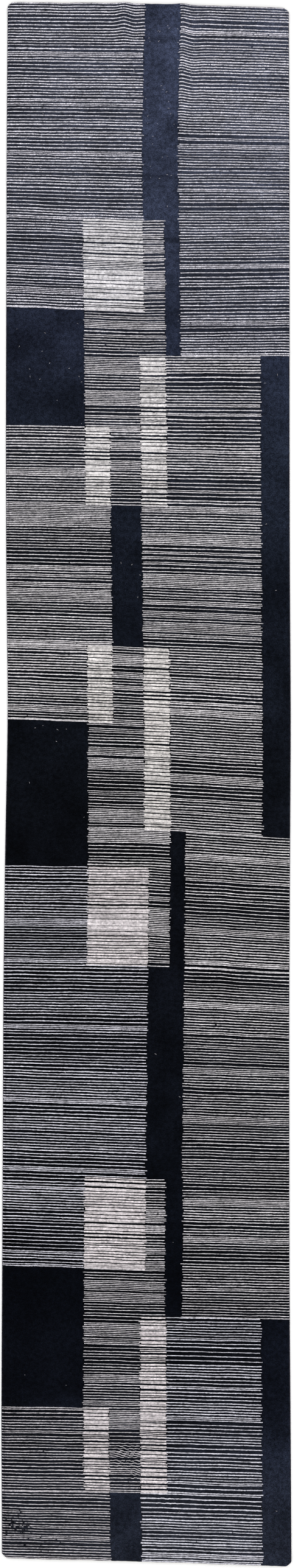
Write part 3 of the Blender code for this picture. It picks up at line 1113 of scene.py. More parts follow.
@dataclass(frozen=True)
class Yarn:
    """Spun and plied yarn, woven or wrapped: matt, with fine ridges across its run."""

    name: str
    colour: str
    shadow: str
    ply_size: float
    across_first: bool = False
    slub_plies: float = 5.0  # how many plies long a thicker or thinner place in the yarn is
    bump: float = 0.25 * MM
    roughness: float = 0.9
    specular: float = 0.1

    def make(self) -> bpy.types.Material:
        """Builds the material.

        Returns:
            The finished material.
        """
        material, tree, shader = start_material(self.name, {
            "Roughness": self.roughness, "Specular IOR Level": self.specular})
        place = add_node(tree, "ShaderNodeTexCoord").outputs["Object"]
        ply = add_node(tree, "ShaderNodeTexWave", {
            "Vector": place, "Scale": WAVE_TO_METRES / self.ply_size, "Distortion": 2.5,
            "Detail": 2.0, "Detail Scale": 1.5}, bands_direction="X" if self.across_first else "Y")
        slub = add_node(tree, "ShaderNodeTexNoise", {
            "Vector": place, "Scale": 1 / (self.slub_plies * self.ply_size), "Detail": 3.0})
        mixed = maths(tree, "MULTIPLY", ply.outputs["Fac"], slub.outputs[0])
        tone = add_node(tree, "ShaderNodeValToRGB", {0: mixed}, stops=[
            (0.05, linear(self.shadow)), (0.55, linear(self.colour))])
        tree.links.new(tone.outputs[0], shader.inputs["Base Color"])
        roughen(tree, shader, mixed, self.bump, 0.6)
        return material


@dataclass(frozen=True)
class StudioPaint:
    """Matt emulsion paint, rolled on: even and nearly white, with the faintest roller texture."""

    name: str = "white_matt_emulsion"
    colour: str = "F8F8F8"

    def make(self) -> bpy.types.Material:
        """Builds the material."""
        return start_material(self.name, {
            "Base Color": linear(self.colour), "Roughness": 0.9, "Specular IOR Level": 0.1})[0]


# Deep indigo-dyed pile. Its colour goes from slate navy at the head to nearly black, and back a little.
NAVY_WOOL = Wool(
    name="indigo_dyed_wool_pile",
    tones=((0.00, "32384B"), (0.62, "2F3547"), (0.92, "202534"), (1.30, "181D28"),
           (1.65, "11151E"), (2.20, "0A0D13"), (2.60, "080A10"), (3.05, "0A0D14"),
           (3.60, "05070D"), (3.90, "0A0D15"), (4.10, "171B26"), (4.38, "20242F")),
    tuft_depth=0.60, lock_depth=0.34, patch_depth=0.38,
    # Painted shade: darker bars across, where fold creases would shade the pile.
    creases=((0.108, 0.30), (0.286, 0.16), (0.496, 0.28), (0.673, 0.40), (0.803, 0.28)),
    side_shades=(0.65, 1.16),
)

# The same wool between ivory rows, with painted shade: darker and greyer, for the shade they cast.
NAVY_WOOL_PAINTED_SHADE = replace(NAVY_WOOL, name="indigo_dyed_wool_pile_between_ivory",
                            saturation=0.78, lightness=0.72, row_depth=0.30)

# Undyed ivory pile: almost white, a little grey where the cut tips are worn.
IVORY_WOOL = Wool(
    name="undyed_ivory_wool_pile",
    tones=((0.00, "DEDAE3"), (1.1, "E0DCE1"), (2.2, "E1DDE0"), (3.5, "DDD9DE"), (4.38, "D8D3D9")),
    tuft_depth=0.30, lock_depth=0.16, patch_depth=0.06, row_depth=0.22, contrast=0.13, lift=0.25,
    bump=0.35 * MM, bump_strength=0.5, sheen=0.0, specular=0.1,
)
IVORY_LOTS: dict[Lot, Wool] = {
    Lot.PLAIN: IVORY_WOOL,
    # Walked on most: the cut tips are felted, so light and dark stand close together.
    Lot.WORN: replace(IVORY_WOOL, name="worn_ivory_wool_pile", tuft_depth=0.62,
                      tones=((0.0, "E8E5F0"), (4.38, "E8E5F0"))),
    # From a greyer fleece.
    Lot.COOL: replace(IVORY_WOOL, name="grey_ivory_wool_pile",
                      tones=((0.0, "DDDAE4"), (4.38, "D9D8E3"))),
    # Washed whiter, with hardly any grey in it.
    Lot.BRIGHT: replace(IVORY_WOOL, name="washed_ivory_wool_pile", tuft_depth=0.20,
                        tones=((0.0, "F3F0F4"), (4.38, "F3F0F4"))),
    # A trace of lanolin yellow.
    Lot.CREAM: replace(IVORY_WOOL, name="cream_ivory_wool_pile", tuft_depth=0.16,
                       tones=((0.0, "F5F1F3"), (1.1, "F5F1F2"), (2.0, "F5F0EE"), (4.38, "F5F0EE"))),
    # A trace of red from a brown fleece.
    Lot.ROSY: replace(IVORY_WOOL, name="rosy_ivory_wool_pile", tuft_depth=0.18,
                      tones=((0.0, "F4EDEF"), (4.38, "F4ECEF"))),
}

# Cotton ground cloth: undyed warp and weft, beaten tight, dull cream.
GROUND_COTTON = Yarn("undyed_cotton_ground", "CFC5AF", "9C917B", ply_size=1.6 * MM)
# The turned-under web: plain weave in the same cotton, with its ribs running along the rug.
WEB_COTTON = Yarn("plain_woven_cotton_web", "C6BCA4", "8E846E", ply_size=1.2 * MM,
                  across_first=True)
# Plied warp cord: smoother and lighter than the cloth, because it is combed.
WARP_COTTON = Yarn("plied_cotton_warp_cord", "D8CFBC", "A89E88", ply_size=1.0 * MM)
# Selvedge wrapping: dark wool yarn with a trace of plum where the dye has faded.
WRAPPING_WOOL = Yarn("dark_wool_selvedge_wrapping", "2E2939", "14121B", ply_size=1.1 * MM,
                     specular=0.04)
# Sewing thread: waxed cotton, so a touch smoother than anything it holds.
SEWING_COTTON = Yarn("waxed_cotton_sewing_thread", "E0D8C6", "B5AB96", ply_size=0.5 * MM,
                     roughness=0.65, specular=0.3)


# --------------------------------------------------------------------------------------------------
# The knotted pieces
# --------------------------------------------------------------------------------------------------


@dataclass(frozen=True)
class Rim:
    """How the pile rolls over at an outer edge: outward reach and drop from the top, step by step."""

    reaches: tuple[float, ...]
    drops: tuple[float, ...]


@dataclass
class PileFieldLook:
    """One field of pile: the navy relief of its rows, and its ivory rows."""

    field_plan: Field
    cloth: LaidCloth
    noise: KnotNoise
    pile_top: float = 10.4 * MM
    pile_bottom: float = 2.7 * MM
    row_relief: float = 0.55 * MM
    ivory_bed: float = 1.9 * MM
    ivory_stand: float = 0.25 * MM
    ivory_half_width: float = 0.41  # rows
    ivory_foot_width: float = 0.58  # rows
    brushed_sink: float = 2.6 * MM
    ivory_foot_drop: float = 1.5 * MM
    navy_step: int = 4
    ivory_step: int = 1
    end_overrun: float = 0.2  # knots that an ivory row runs past its field, on average
    end_jitter: float = 0.8  # how unlike each other those are
    end_drop: float = 0.35 * MM
    width_spread: float = 0.2
    cover_thinning: float = 0.35  # how much narrower a row is where it is brushed over
    rolled_depth: float = 4 * MM  # how far down the rim the pile's unevenness still shows
    rim_depth: float = 5.4 * MM
    # How the cut tufts spring out of the rim: unevenly, more at a crest, and most in an ivory row.
    uneven_spring: float = 0.22
    crest_spring: float = 0.25
    ivory_spring: float = 0.42
    rim_start: float = 0.5 * MM
    end_seed: int = 31
    side_rim: Rim = Rim((-2.2 * MM, 0.0, 1.9 * MM, 3.1 * MM, 2.7 * MM, 0.2 * MM),
                        (0.1 * MM, 0.8 * MM, 2.4 * MM, 4.4 * MM, 5.0 * MM, 5.0 * MM))
    end_rim: Rim = Rim((0.3 * MM, 1.1 * MM, 1.6 * MM, 1.4 * MM),
                       (0.9 * MM, 2.2 * MM, 4.0 * MM, 5.4 * MM))

    def _columns(self, step: int, with_rim: int) -> tuple[np.ndarray, np.ndarray, np.ndarray]:
        """Places the lattice's columns, with the rolled rim at a side of the rug.

        Args:
            step: Knots from one column to the next.
            with_rim: How many steps of the rim are taken.

        Returns:
            Knot places, extra reach across, and drop, one value a column.
        """
        limits = sorted({c.value for band in self.field_plan.bands for c in (band.left, band.right)})
        inner = [k for k in range(limits[0], limits[-1]) if k % step == 0]
        clear = min(1.5, step)  # an inner column keeps this far from a design line
        knots = sorted(set(limits) | {k for k in inner if min(abs(k - x) for x in limits) >= clear})
        cols = [(float(k), 0.0, 0.0) for k in knots]
        rim = list(zip(self.side_rim.reaches, self.side_rim.drops))[:with_rim]
        if limits[0] == 0:
            cols = [(0.0, -reach, drop) for reach, drop in reversed(rim)] + cols[1:]
        if limits[-1] == KNOTS_ACROSS:
            cols = cols[:-1] + [(float(KNOTS_ACROSS), reach, drop) for reach, drop in rim]
        places, extra, drop = (np.array(values) for values in zip(*cols))
        return places, extra, drop

    def _lines(self) -> tuple[np.ndarray, np.ndarray, np.ndarray, np.ndarray]:
        """Places the lattice's lines: a valley and a crest for each row, and a rim at an end.

        Returns:
            Row places, extra reach along, drop, and how far each line is a crest.
        """
        first, last = self.field_plan.first_row, self.field_plan.last_row
        rows = np.arange(2 * first, 2 * last + 1) / 2.0
        ivory = self.field_plan.ivory_rows()
        drop = np.where(rows % 1 == 0, self.row_relief, 0.0)
        for row in ivory:
            drop[2 * (row - first) + 1] = self.ivory_bed
        lines = [(row, 0.0, d, 0.0 if row % 1 == 0 else 1.0) for row, d in zip(rows, drop)]
        rim = list(zip(self.end_rim.reaches, self.end_rim.drops))
        if first == 0:
            lines = [(0.0, reach, d, 0.0) for reach, d in reversed(rim)] + lines[1:]
        if last == ROWS_ALONG:
            lines = lines[:-1] + [(float(last), -reach, d, 0.0) for reach, d in rim]
        places, extra, drops, crest = (np.array(values) for values in zip(*lines))
        return places, extra, drops, crest

    def _evenness(self, drop_across: np.ndarray) -> np.ndarray:
        """How much of the pile's unevenness shows in each column, less and less down the rim."""
        return np.clip(1 - drop_across / self.rolled_depth, 0, 1)[None, :]

    def _mask(self, rows: np.ndarray, knots: np.ndarray) -> np.ndarray:
        """Finds which cells of the lattice lie in the field.

        Args:
            rows: Row places of the lattice's lines.
            knots: Knot places of its columns.

        Returns:
            True for each cell that does, line by line.
        """
        middle_row = (rows[1:] + rows[:-1]) / 2
        middle_knot = (knots[1:] + knots[:-1]) / 2
        mask = np.zeros((len(middle_row), len(middle_knot)), dtype=bool)
        for band in self.field_plan.bands:
            low, high = band.rows[0], band.rows[-1] + 1
            in_rows = (middle_row >= low) & (middle_row <= high)
            if low != self.field_plan.first_row:
                in_rows &= middle_row > low
            in_knots = (middle_knot >= band.left.value) & (middle_knot <= band.right.value)
            mask |= in_rows[:, None] & in_knots[None, :]
        return mask

    def navy(self, material: bpy.types.Material) -> bpy.types.Object:
        """Builds the navy relief, a closed skin with a bed for each ivory row.

        Args:
            material: The navy wool.

        Returns:
            The piece.
        """
        knots, reach_across, drop_across = self._columns(self.navy_step, 6)
        rows, reach_along, drop_along, crest = self._lines()
        grid_rows, grid_knots = rows[:, None], knots[None, :]
        tufts = self.noise.read("side", grid_rows, grid_knots)
        sprung = 1 + self.uneven_spring * tufts + self.crest_spring * crest[:, None]
        across = reach_across[None, :] * np.where(np.abs(reach_across) > self.rim_start, sprung, 1)
        height = self.noise.read("height", grid_rows, grid_knots)
        drop = np.minimum(np.hypot(drop_along[:, None], drop_across[None, :]), self.rim_depth)
        up = self.pile_top + height * self._evenness(drop_across) - drop
        top = self.noise.lay(grid_rows, grid_knots, up, across, reach_along[:, None])
        mask = self._mask(rows, knots)
        girth = np.cumsum(np.hypot(np.diff(self.cloth.across(knots) + reach_across),
                                   np.diff(drop_across)))
        layout = grid_layout(np.concatenate(([0], girth)) / girth[-1], np.linspace(0, 1, len(rows)))
        draft = MeshDraft()
        draft.add_grid(top, layout, mask)
        self._close(draft, rows, knots, mask, layout)
        return draft.make(f"{self.field_plan.node}_navy_pile", material)

    def _close(self, draft: MeshDraft, rows: np.ndarray, knots: np.ndarray,
               mask: np.ndarray, layout: np.ndarray) -> None:
        """Adds walls from the skin's edge down to the ground cloth, and a floor between them.

        Args:
            draft: The mesh with the skin in it.
            rows: Row places of the lattice's lines.
            knots: Knot places of its columns.
            mask: Which cells of the lattice have a face.
            layout: The flat place of each point of the lattice.
        """
        lines, columns = len(rows), len(knots)
        padded = np.pad(mask, 1)
        number = np.arange(lines * columns).reshape(lines, columns)
        edges: list[tuple[int, int]] = []
        for cell_line, cell_column in zip(*np.nonzero(mask)):
            a = number[cell_line, cell_column]
            b = number[cell_line + 1, cell_column]
            c = number[cell_line + 1, cell_column + 1]
            d = number[cell_line, cell_column + 1]
            around = padded[cell_line:cell_line + 3, cell_column:cell_column + 3]
            if not around[1, 0]:
                edges.append((a, b))
            if not around[2, 1]:
                edges.append((b, c))
            if not around[1, 2]:
                edges.append((c, d))
            if not around[0, 1]:
                edges.append((d, a))
        following = dict(edges)
        loop = [edges[0][0]]
        while following[loop[-1]] != loop[0]:
            loop.append(following[loop[-1]])
        ring = np.array(loop)
        ring_rows, ring_knots = rows[ring // columns], knots[ring % columns]
        # The walls stand inside the overhang of the rim.
        low = self.noise.lay(ring_rows, ring_knots, np.full(len(ring), self.pile_bottom))
        first = draft.add_points(low)
        after = np.roll(np.arange(len(ring)), -1)
        quads = np.stack((ring, first + np.arange(len(ring)), first + after, ring[after]), axis=-1)
        places = layout.reshape(-1, 2)[ring]
        outward = places + WALL_SPOT * np.sign(places - places.mean(axis=0))
        flat = np.stack((places, outward, outward[after], places[after]), axis=1)
        draft.add_quads(quads, flat)
        draft.add_polygon((first + np.arange(len(ring)))[::-1])

    def ivory(self, material: bpy.types.Material) -> bpy.types.Object | None:
        """Builds the ivory rows, each a closed bar that stands in its bed.

        Args:
            material: The ivory wool.

        Returns:
            The piece, or None where the field has no ivory rows.
        """
        fullness = self.field_plan.ivory_rows()
        picked = sorted(fullness)
        if not picked:
            return None
        knots, reach_across, drop_across = self._columns(self.ivory_step, 4)
        rng = np.random.default_rng(picked[0] * self.end_seed + len(picked))
        draft = MeshDraft()
        for band in self.field_plan.bands:
            rows = np.array([row for row in picked if row in band.rows], dtype=float)
            inside = (knots >= band.left.value) & (knots <= band.right.value)
            full = np.array([fullness[int(row)] for row in rows])
            if len(rows):
                self._bars(draft, rows, full, band, knots[inside], reach_across[inside],
                           drop_across[inside], rng)
        return draft.make(f"{self.field_plan.node}_ivory_rows", material)

    def _bars(self, draft: MeshDraft, rows: np.ndarray, full: np.ndarray, band: Band,
              knots: np.ndarray, reach_across: np.ndarray, drop_across: np.ndarray,
              rng: np.random.Generator) -> None:
        """Adds the ivory bars of one band.

        Args:
            draft: The mesh they are added to.
            rows: The numbers of the ivory rows.
            full: How full each of them is.
            band: The band they are in.
            knots: Knot places of the lattice's columns.
            reach_across: Extra reach of each column.
            drop_across: Drop of each column.
            rng: The source of chance for where each row starts and stops.
        """
        middle = rows[:, None] + 0.5
        places = np.repeat(knots[None, :], len(rows), axis=0)
        if band.left is not Column.LEFT:
            places[:, 0] += rng.normal(-self.end_overrun, self.end_jitter, len(rows))
        if band.right is not Column.RIGHT:
            places[:, -1] += rng.normal(self.end_overrun, self.end_jitter, len(rows))
        height = self.noise.read("height", middle, places)
        uneven = self.noise.read("ivory", middle, places)
        cover = self.noise.brushed_over(middle, places)
        tufts = self.noise.read("side", middle, places)
        top = (self.pile_top + self.ivory_stand + (height + uneven) * self._evenness(drop_across)
               - drop_across[None, :] - self.brushed_sink * cover)
        top[:, 0] -= self.end_drop * (band.left is not Column.LEFT)
        top[:, -1] -= self.end_drop * (band.right is not Column.RIGHT)
        swell = 1 + self.width_spread * self.noise.read("ivory_width", middle, places)
        wide = full[:, None] * swell - self.cover_thinning * cover
        sprung = 1 + self.ivory_spring + self.uneven_spring * tufts
        reach = reach_across[None, :] * np.where(np.abs(reach_across) > self.rim_start, sprung, 1)
        profile = ((-self.ivory_foot_width, self.ivory_foot_drop), (-self.ivory_half_width, 0.0),
                   (self.ivory_half_width, 0.0), (self.ivory_foot_width, self.ivory_foot_drop))
        rings = [self.noise.lay(middle, places, top - below, reach,
                                -sideways * wide * self.cloth.row_pitch)
                 for sideways, below in profile]
        count, columns = places.shape
        run = inside_margin(np.linspace(0, 1, columns))[None, :]
        strip = [inside_margin((np.arange(count) + side / SIDES_TO_A_STRIP) / count)[:, None]
                 for side in range(5)]
        draft.add_bars(rings, [box_layout(run[:, :-1], run[:, 1:], strip[side], strip[side + 1])
                               for side in range(4)])


@dataclass
class Underside:
    """The back of the rug: every row shows again as a low ridge of knot backs."""

    fields: tuple[Field, ...]
    cloth: LaidCloth
    noise: KnotNoise
    back_crest: float = 0.10 * MM
    back_valley: float = 0.45 * MM
    backing_top: float = 1.0 * MM
    ivory_stand: float = 0.08 * MM
    bar_half_width: float = 0.3  # rows
    bar_foot_width: float = 0.55  # rows
    bar_foot_rise: float = 0.1 * MM
    strips: int = 97
    step: int = 35

    def navy(self, material: bpy.types.Material) -> bpy.types.Object:
        """Builds the ridged sheet of navy knot backs.

        Args:
            material: The navy wool.

        Returns:
            The piece.
        """
        knots = np.unique(np.concatenate((np.arange(0, KNOTS_ACROSS, self.step), [KNOTS_ACROSS])))
        rows = np.arange(0, 2 * ROWS_ALONG + 1) / 2.0
        up = np.where(rows % 1 == 0, self.back_valley, self.back_crest)[:, None]
        low = self.noise.lay(rows[:, None], knots[None, :].astype(float), up)
        layout = grid_layout(knots / KNOTS_ACROSS, rows / ROWS_ALONG)
        draft = MeshDraft()
        # Turned over, because this skin faces the floor.
        draft.add_grid(low[:, ::-1], layout[:, ::-1])
        lines, columns = low.shape[:2]
        number = np.arange(lines * columns).reshape(lines, columns)
        ring = np.concatenate((number[0, :-1], number[:-1, -1], number[-1, :0:-1], number[:0:-1, 0]))
        places = low[:, ::-1].reshape(-1, 3)[ring].copy()
        places[:, 2] += self.backing_top - self.back_crest
        first = draft.add_points(places)
        after = np.roll(np.arange(len(ring)), -1)
        quads = np.stack((ring[after], ring, first + np.arange(len(ring)), first + after), axis=-1)
        draft.add_quads(quads[:, ::-1], spot_layout(len(ring), WALL_SPOT))
        draft.add_polygon(first + np.arange(len(ring)))
        return draft.make("knot_backs_navy", material)

    def ivory(self, material: bpy.types.Material) -> bpy.types.Object:
        """Builds the ivory knot backs, a shallow closed bar to each ivory row.

        Args:
            material: The ivory wool.

        Returns:
            The piece.
        """
        draft = MeshDraft()
        for plan in self.fields:
            picked = plan.ivory_rows()
            for band in plan.bands:
                rows = np.array(sorted(set(picked) & set(band.rows)), dtype=float)
                if len(rows):
                    self._bars(draft, rows, band)
        return draft.make("knot_backs_ivory", material)

    def _bars(self, draft: MeshDraft, rows: np.ndarray, band: Band) -> None:
        """Adds the bars of one band of the back.

        Args:
            draft: The mesh they are added to.
            rows: The numbers of the ivory rows.
            band: The band they are in.
        """
        low, high = band.left.value, band.right.value
        knots = np.linspace(low, high, max(2, round((high - low) / self.step) + 1))
        middle = rows[:, None] + 0.5
        crest = self.back_crest - self.ivory_stand
        foot = self.back_valley + self.bar_foot_rise - self.ivory_stand
        # Listed from the foot side to the head side, so that the bars face the floor.
        profile = ((self.bar_foot_width, foot), (self.bar_half_width, crest),
                   (-self.bar_half_width, crest), (-self.bar_foot_width, foot))
        rings = [self.noise.lay(middle, knots[None, :], np.float64(up),
                                reach_along=-sideways * self.cloth.row_pitch)
                 for sideways, up in profile]
        # Rows share the layout's strips, because there are more of them than it has room for.
        strip = inside_margin((rows % self.strips) / self.strips)[:, None]
        run = inside_margin(knots / KNOTS_ACROSS)[None, :]
        draft.add_bars(rings, [box_layout(run[:, :-1], run[:, 1:], strip, strip + SPOT_SIZE)] * 4)


# --------------------------------------------------------------------------------------------------
# Ground cloth, sides and ends
# --------------------------------------------------------------------------------------------------


@dataclass
class GroundCloth:
    """The cotton ground that the knots are tied on: a thin cloth between pile and knot backs."""

    cloth: LaidCloth
    low: float = 0.95 * MM
    high: float = 2.65 * MM
    side_inset: float = 0.3 * MM
    end_inset: float = 2.2 * MM
    weft_relief: float = 0.06 * MM
    columns: int = 60
    lines: int = 330  # far fewer than the real wefts, which only show in the material

    def make(self, material: bpy.types.Material) -> bpy.types.Object:
        """Builds the cloth as a closed sheet with a slight swell at every second line.

        Args:
            material: The cotton.

        Returns:
            The piece.
        """
        half_x = self.cloth.pile_half_width - self.side_inset
        half_y = self.cloth.half_length - self.end_inset
        across = np.linspace(-half_x, half_x, self.columns)[None, :]
        along = np.linspace(half_y, -half_y, self.lines)[:, None]
        swell = self.weft_relief * np.where(np.arange(self.lines) % 2, 1, -1)[:, None]
        top = self.cloth.lay(across, along, self.high + swell - self.weft_relief)
        under = self.cloth.lay(across, along, self.low - swell)
        # The top takes the first half of the layout, and the underside the second.
        share, half_share = np.linspace(0, 1, self.columns), np.linspace(0, 0.48, self.lines)
        draft = MeshDraft()
        draft.add_grid(top, grid_layout(share, half_share))
        second = draft.add_grid(under[:, ::-1], grid_layout(share, half_share + 0.5))
        number = np.arange(self.lines * self.columns).reshape(self.lines, self.columns)
        below = second + number[:, ::-1]
        for upper, lower in ((number[0, ::-1], below[0, ::-1]), (number[-1], below[-1]),
                             (number[:, 0], below[:, 0]), (number[::-1, -1], below[::-1, -1])):
            quads = np.stack((upper[:-1], lower[:-1], lower[1:], upper[1:]), axis=-1)
            draft.add_quads(quads, spot_layout(len(quads), WALL_SPOT))
        return draft.make("foundation_ground_cloth", material)


@dataclass
class Selvedge:
    """One side finish: a bundle of edge warps, overcast with dark wool."""

    cloth: LaidCloth
    side: int
    wrap_pitch: float = 2.6 * MM  # a turn to a knot row, which is coarser than real wrapping
    wrap_relief: float = 0.38 * MM
    slant: float = 0.8
    around: int = 8
    folds: int = 12
    end_inset: float = 2.2 * MM
    taper_lines: int = 4
    taper: float = 1.7 * MM
    uneven: float = 0.05 * MM
    snugness: float = 0.985  # the wrapping's radius beside that of the frame's selvedge
    floor_gap: float = 0.02 * MM
    core_inset: float = 3.5 * MM
    core_radius: float = 1.2 * MM
    core_step: float = 6 * MM
    core_plies: int = 3
    core_ply_relief: float = 0.12
    core_twist: float = 0.9
    seed: int = 5

    @property
    def word(self) -> str:
        """The side's name."""
        return "left" if self.side < 0 else "right"

    def overcast(self, material: bpy.types.Material) -> bpy.types.Object:
        """Builds the wrapping, turn by turn, drawn in to a point at both ends.

        Args:
            material: The dark wool yarn.

        Returns:
            The piece.
        """
        half = self.cloth.half_length - self.end_inset
        turns = int(2 * half / self.wrap_pitch)
        lines = 2 * turns + 1
        rng = np.random.default_rng(self.seed + self.side)
        radius = self.cloth.selvedge_radius
        line = np.arange(lines)
        swell = np.where(line % 2, 0.0, -self.wrap_relief) + rng.normal(0, self.uneven, lines)
        from_end = np.minimum(line, lines - 1 - line)
        swell -= np.clip(1 - from_end / self.taper_lines, 0, 1) ** 2 * self.taper
        angle = 2 * math.pi * (np.arange(self.around) + 0.5) / self.around
        centre = self.side * (self.cloth.half_width - radius)
        reach = (radius / math.cos(math.pi / self.around) * self.snugness + swell)[:, None]
        along = np.linspace(half, -half, lines)[:, None]
        along = along + self.slant * self.wrap_pitch / 2 * np.sin(angle)[None, :]
        across = centre - reach * np.sin(angle)[None, :]
        up = np.maximum(radius + reach * np.cos(angle)[None, :], self.floor_gap)
        rings = self.cloth.lay(across, np.clip(along, -half, half), up)
        return self._tube(rings, f"selvedge_overcast_{self.word}_wraps", material)

    def core(self, material: bpy.types.Material) -> bpy.types.Object:
        """Builds the edge warps inside, as one twisted cord.

        Args:
            material: The cotton cord.

        Returns:
            The piece.
        """
        half = self.cloth.half_length - self.core_inset
        lines = int(2 * half / self.core_step)
        along = np.linspace(half, -half, lines)[:, None]
        sides = 2 * self.core_plies
        angle = (2 * math.pi * (np.arange(sides) + 0.5)[None, :] / sides
                 + self.core_twist * np.arange(lines)[:, None])
        radius = self.core_radius * (1 + self.core_ply_relief * np.cos(self.core_plies * angle))
        centre = self.side * (self.cloth.half_width - self.cloth.selvedge_radius)
        rings = self.cloth.lay(centre - radius * np.sin(angle), along,
                               self.cloth.selvedge_radius + radius * np.cos(angle))
        return self._tube(rings, f"selvedge_core_{self.word}_cord", material)

    def _tube(self, rings: np.ndarray, name: str, material: bpy.types.Material) -> bpy.types.Object:
        """Makes a tube piece through rings that run from the head to the foot.

        Args:
            rings: Ring, point of the ring, and x, y and z.
            name: The piece's name.
            material: Its finish.

        Returns:
            The piece.
        """
        count, around = rings.shape[:2]
        # The length is folded into strips of the layout, because it is so much more than the girth.
        share = np.arange(count - 1)[:, None] / (count - 1) * self.folds
        girth = inside_margin(np.arange(around + 1) / around)[None, :]
        u0 = inside_margin(share % 1)
        u1 = np.minimum(u0 + self.folds / (count - 1), 1)
        layout = box_layout(u0, u1, (np.floor(share) + girth[:, :-1]) / self.folds,
                            (np.floor(share) + girth[:, 1:]) / self.folds)
        draft = MeshDraft()
        draft.add_tube(rings, layout)
        return draft.make(name, material)


@dataclass
class EndFinish:
    """One end: the plain-woven web folded under, and the stitches that hold it."""

    cloth: LaidCloth
    end: int
    thickness: float = 1.6 * MM
    rib_pitch: float = 2.5 * MM  # a rib to each pair of warps
    rib_relief: float = 0.16 * MM
    side_inset: float = 2.0 * MM
    stitch_pitch: float = 7.0 * MM
    stitch_radius: float = 0.45 * MM
    stitch_inset: float = 4.0 * MM
    stitch_lean: float = 2.6 * MM
    stitch_height: float = 0.47 * MM
    stitch_sides: int = 6
    seed: int = 19
    fold_top: float = 4.4 * MM

    @property
    def word(self) -> str:
        """The end's name."""
        return "head" if self.end > 0 else "foot"

    def web(self, material: bpy.types.Material) -> bpy.types.Object:
        """Builds the web: up the end face, round the fold and in under the rug, with warp ribs.

        Args:
            material: The cotton web.

        Returns:
            The piece.
        """
        outer = self.cloth.half_length
        inner = outer - self.cloth.hem_depth
        t = self.thickness
        # Half millimetre steps round the fold keep its corner soft.
        outside = ((inner, 0.08 * MM), (inner + 8 * MM, 0.05 * MM), (outer - 6 * MM, 0.05 * MM),
                   (outer - 1.2 * MM, 0.15 * MM), (outer - 0.35 * MM, 0.7 * MM), (outer, 1.6 * MM),
                   (outer - 0.05 * MM, 3.0 * MM), (outer - 0.2 * MM, self.fold_top - 0.3 * MM),
                   (outer - 0.7 * MM, self.fold_top))
        inside = ((outer - t, self.fold_top - 0.2 * MM), (outer - t, 3.0 * MM),
                  (outer - t - 0.2 * MM, t + 0.3 * MM), (outer - t - 0.8 * MM, t),
                  (outer - 8 * MM, t), (inner + 4 * MM, t), (inner, t - 0.25 * MM))
        profile = np.array(outside + inside)
        half = self.cloth.half_width - self.side_inset
        columns = 2 * int(2 * half / self.rib_pitch) + 1
        across = np.linspace(-half, half, columns)[:, None]
        rib = np.where(np.arange(columns) % 2, 0.0, self.rib_relief)[:, None]
        along, up = profile[:, 0][None, :], profile[:, 1][None, :]
        on_outside = (np.arange(len(profile)) < len(outside))[None, :]
        lowers = on_outside & (up < 1.0 * MM)
        along = along - rib * (on_outside & ~lowers)
        up = up + rib * lowers - rib / 2 * ~on_outside
        rings = self.cloth.lay(across, self.end * along, up, lifted=False)
        if self.end < 0:
            rings = rings[::-1]
        u = inside_margin(np.linspace(0, 1, columns))[:, None]
        v = inside_margin(np.linspace(0, 1, len(profile) + 1))[None, :]
        draft = MeshDraft()
        draft.add_tube(rings, box_layout(u[:-1], u[1:], v[:, :-1], v[:, 1:]))
        return draft.make(f"end_web_{self.word}_weave", material)

    def stitches(self, material: bpy.types.Material) -> bpy.types.Object:
        """Builds the whip stitches along the web's inner edge, on the back of the rug.

        Args:
            material: The sewing thread.

        Returns:
            The piece.
        """
        half = self.cloth.half_width - self.side_inset - self.stitch_inset
        count = int(2 * half / self.stitch_pitch)
        edge = self.cloth.half_length - self.cloth.hem_depth
        rng = np.random.default_rng(self.seed + self.end)
        angle = 2 * math.pi * np.arange(self.stitch_sides) / self.stitch_sides
        # A stitch's way over the edge of the web: share of its lean, place along, and height.
        path = np.array([(0.0, 2.2 * MM, 0.35 * MM), (0.2, 1.4 * MM, -0.02 * MM),
                         (0.5, 0.0, 0.02 * MM), (0.8, -1.4 * MM, 0.30 * MM),
                         (1.0, -2.2 * MM, 0.9 * MM)])
        thick = np.array([0.6, 1.0, 1.0, 1.0, 0.6])[:, None] * self.stitch_radius
        along, up = edge + path[:, 1, None], self.stitch_height + path[:, 2, None]
        ring_up = np.maximum(up + thick * np.sin(angle)[None, :], 0.01 * MM)
        draft = MeshDraft()
        for number in range(count):
            start = -half + (number + 0.25) * self.stitch_pitch + rng.normal(0, 0.25 * MM)
            lean = self.stitch_lean + rng.normal(0, 0.2 * MM)
            across = start + path[:, 0, None] * lean + thick * np.cos(angle)[None, :]
            rings = self.cloth.lay(across, self.end * along, ring_up, lifted=False)
            if self.end < 0:
                rings = rings[:, ::-1]
            draft.add_spot_tube(rings, number / count)
        return draft.make(f"hem_thread_{self.word}_stitches", material)


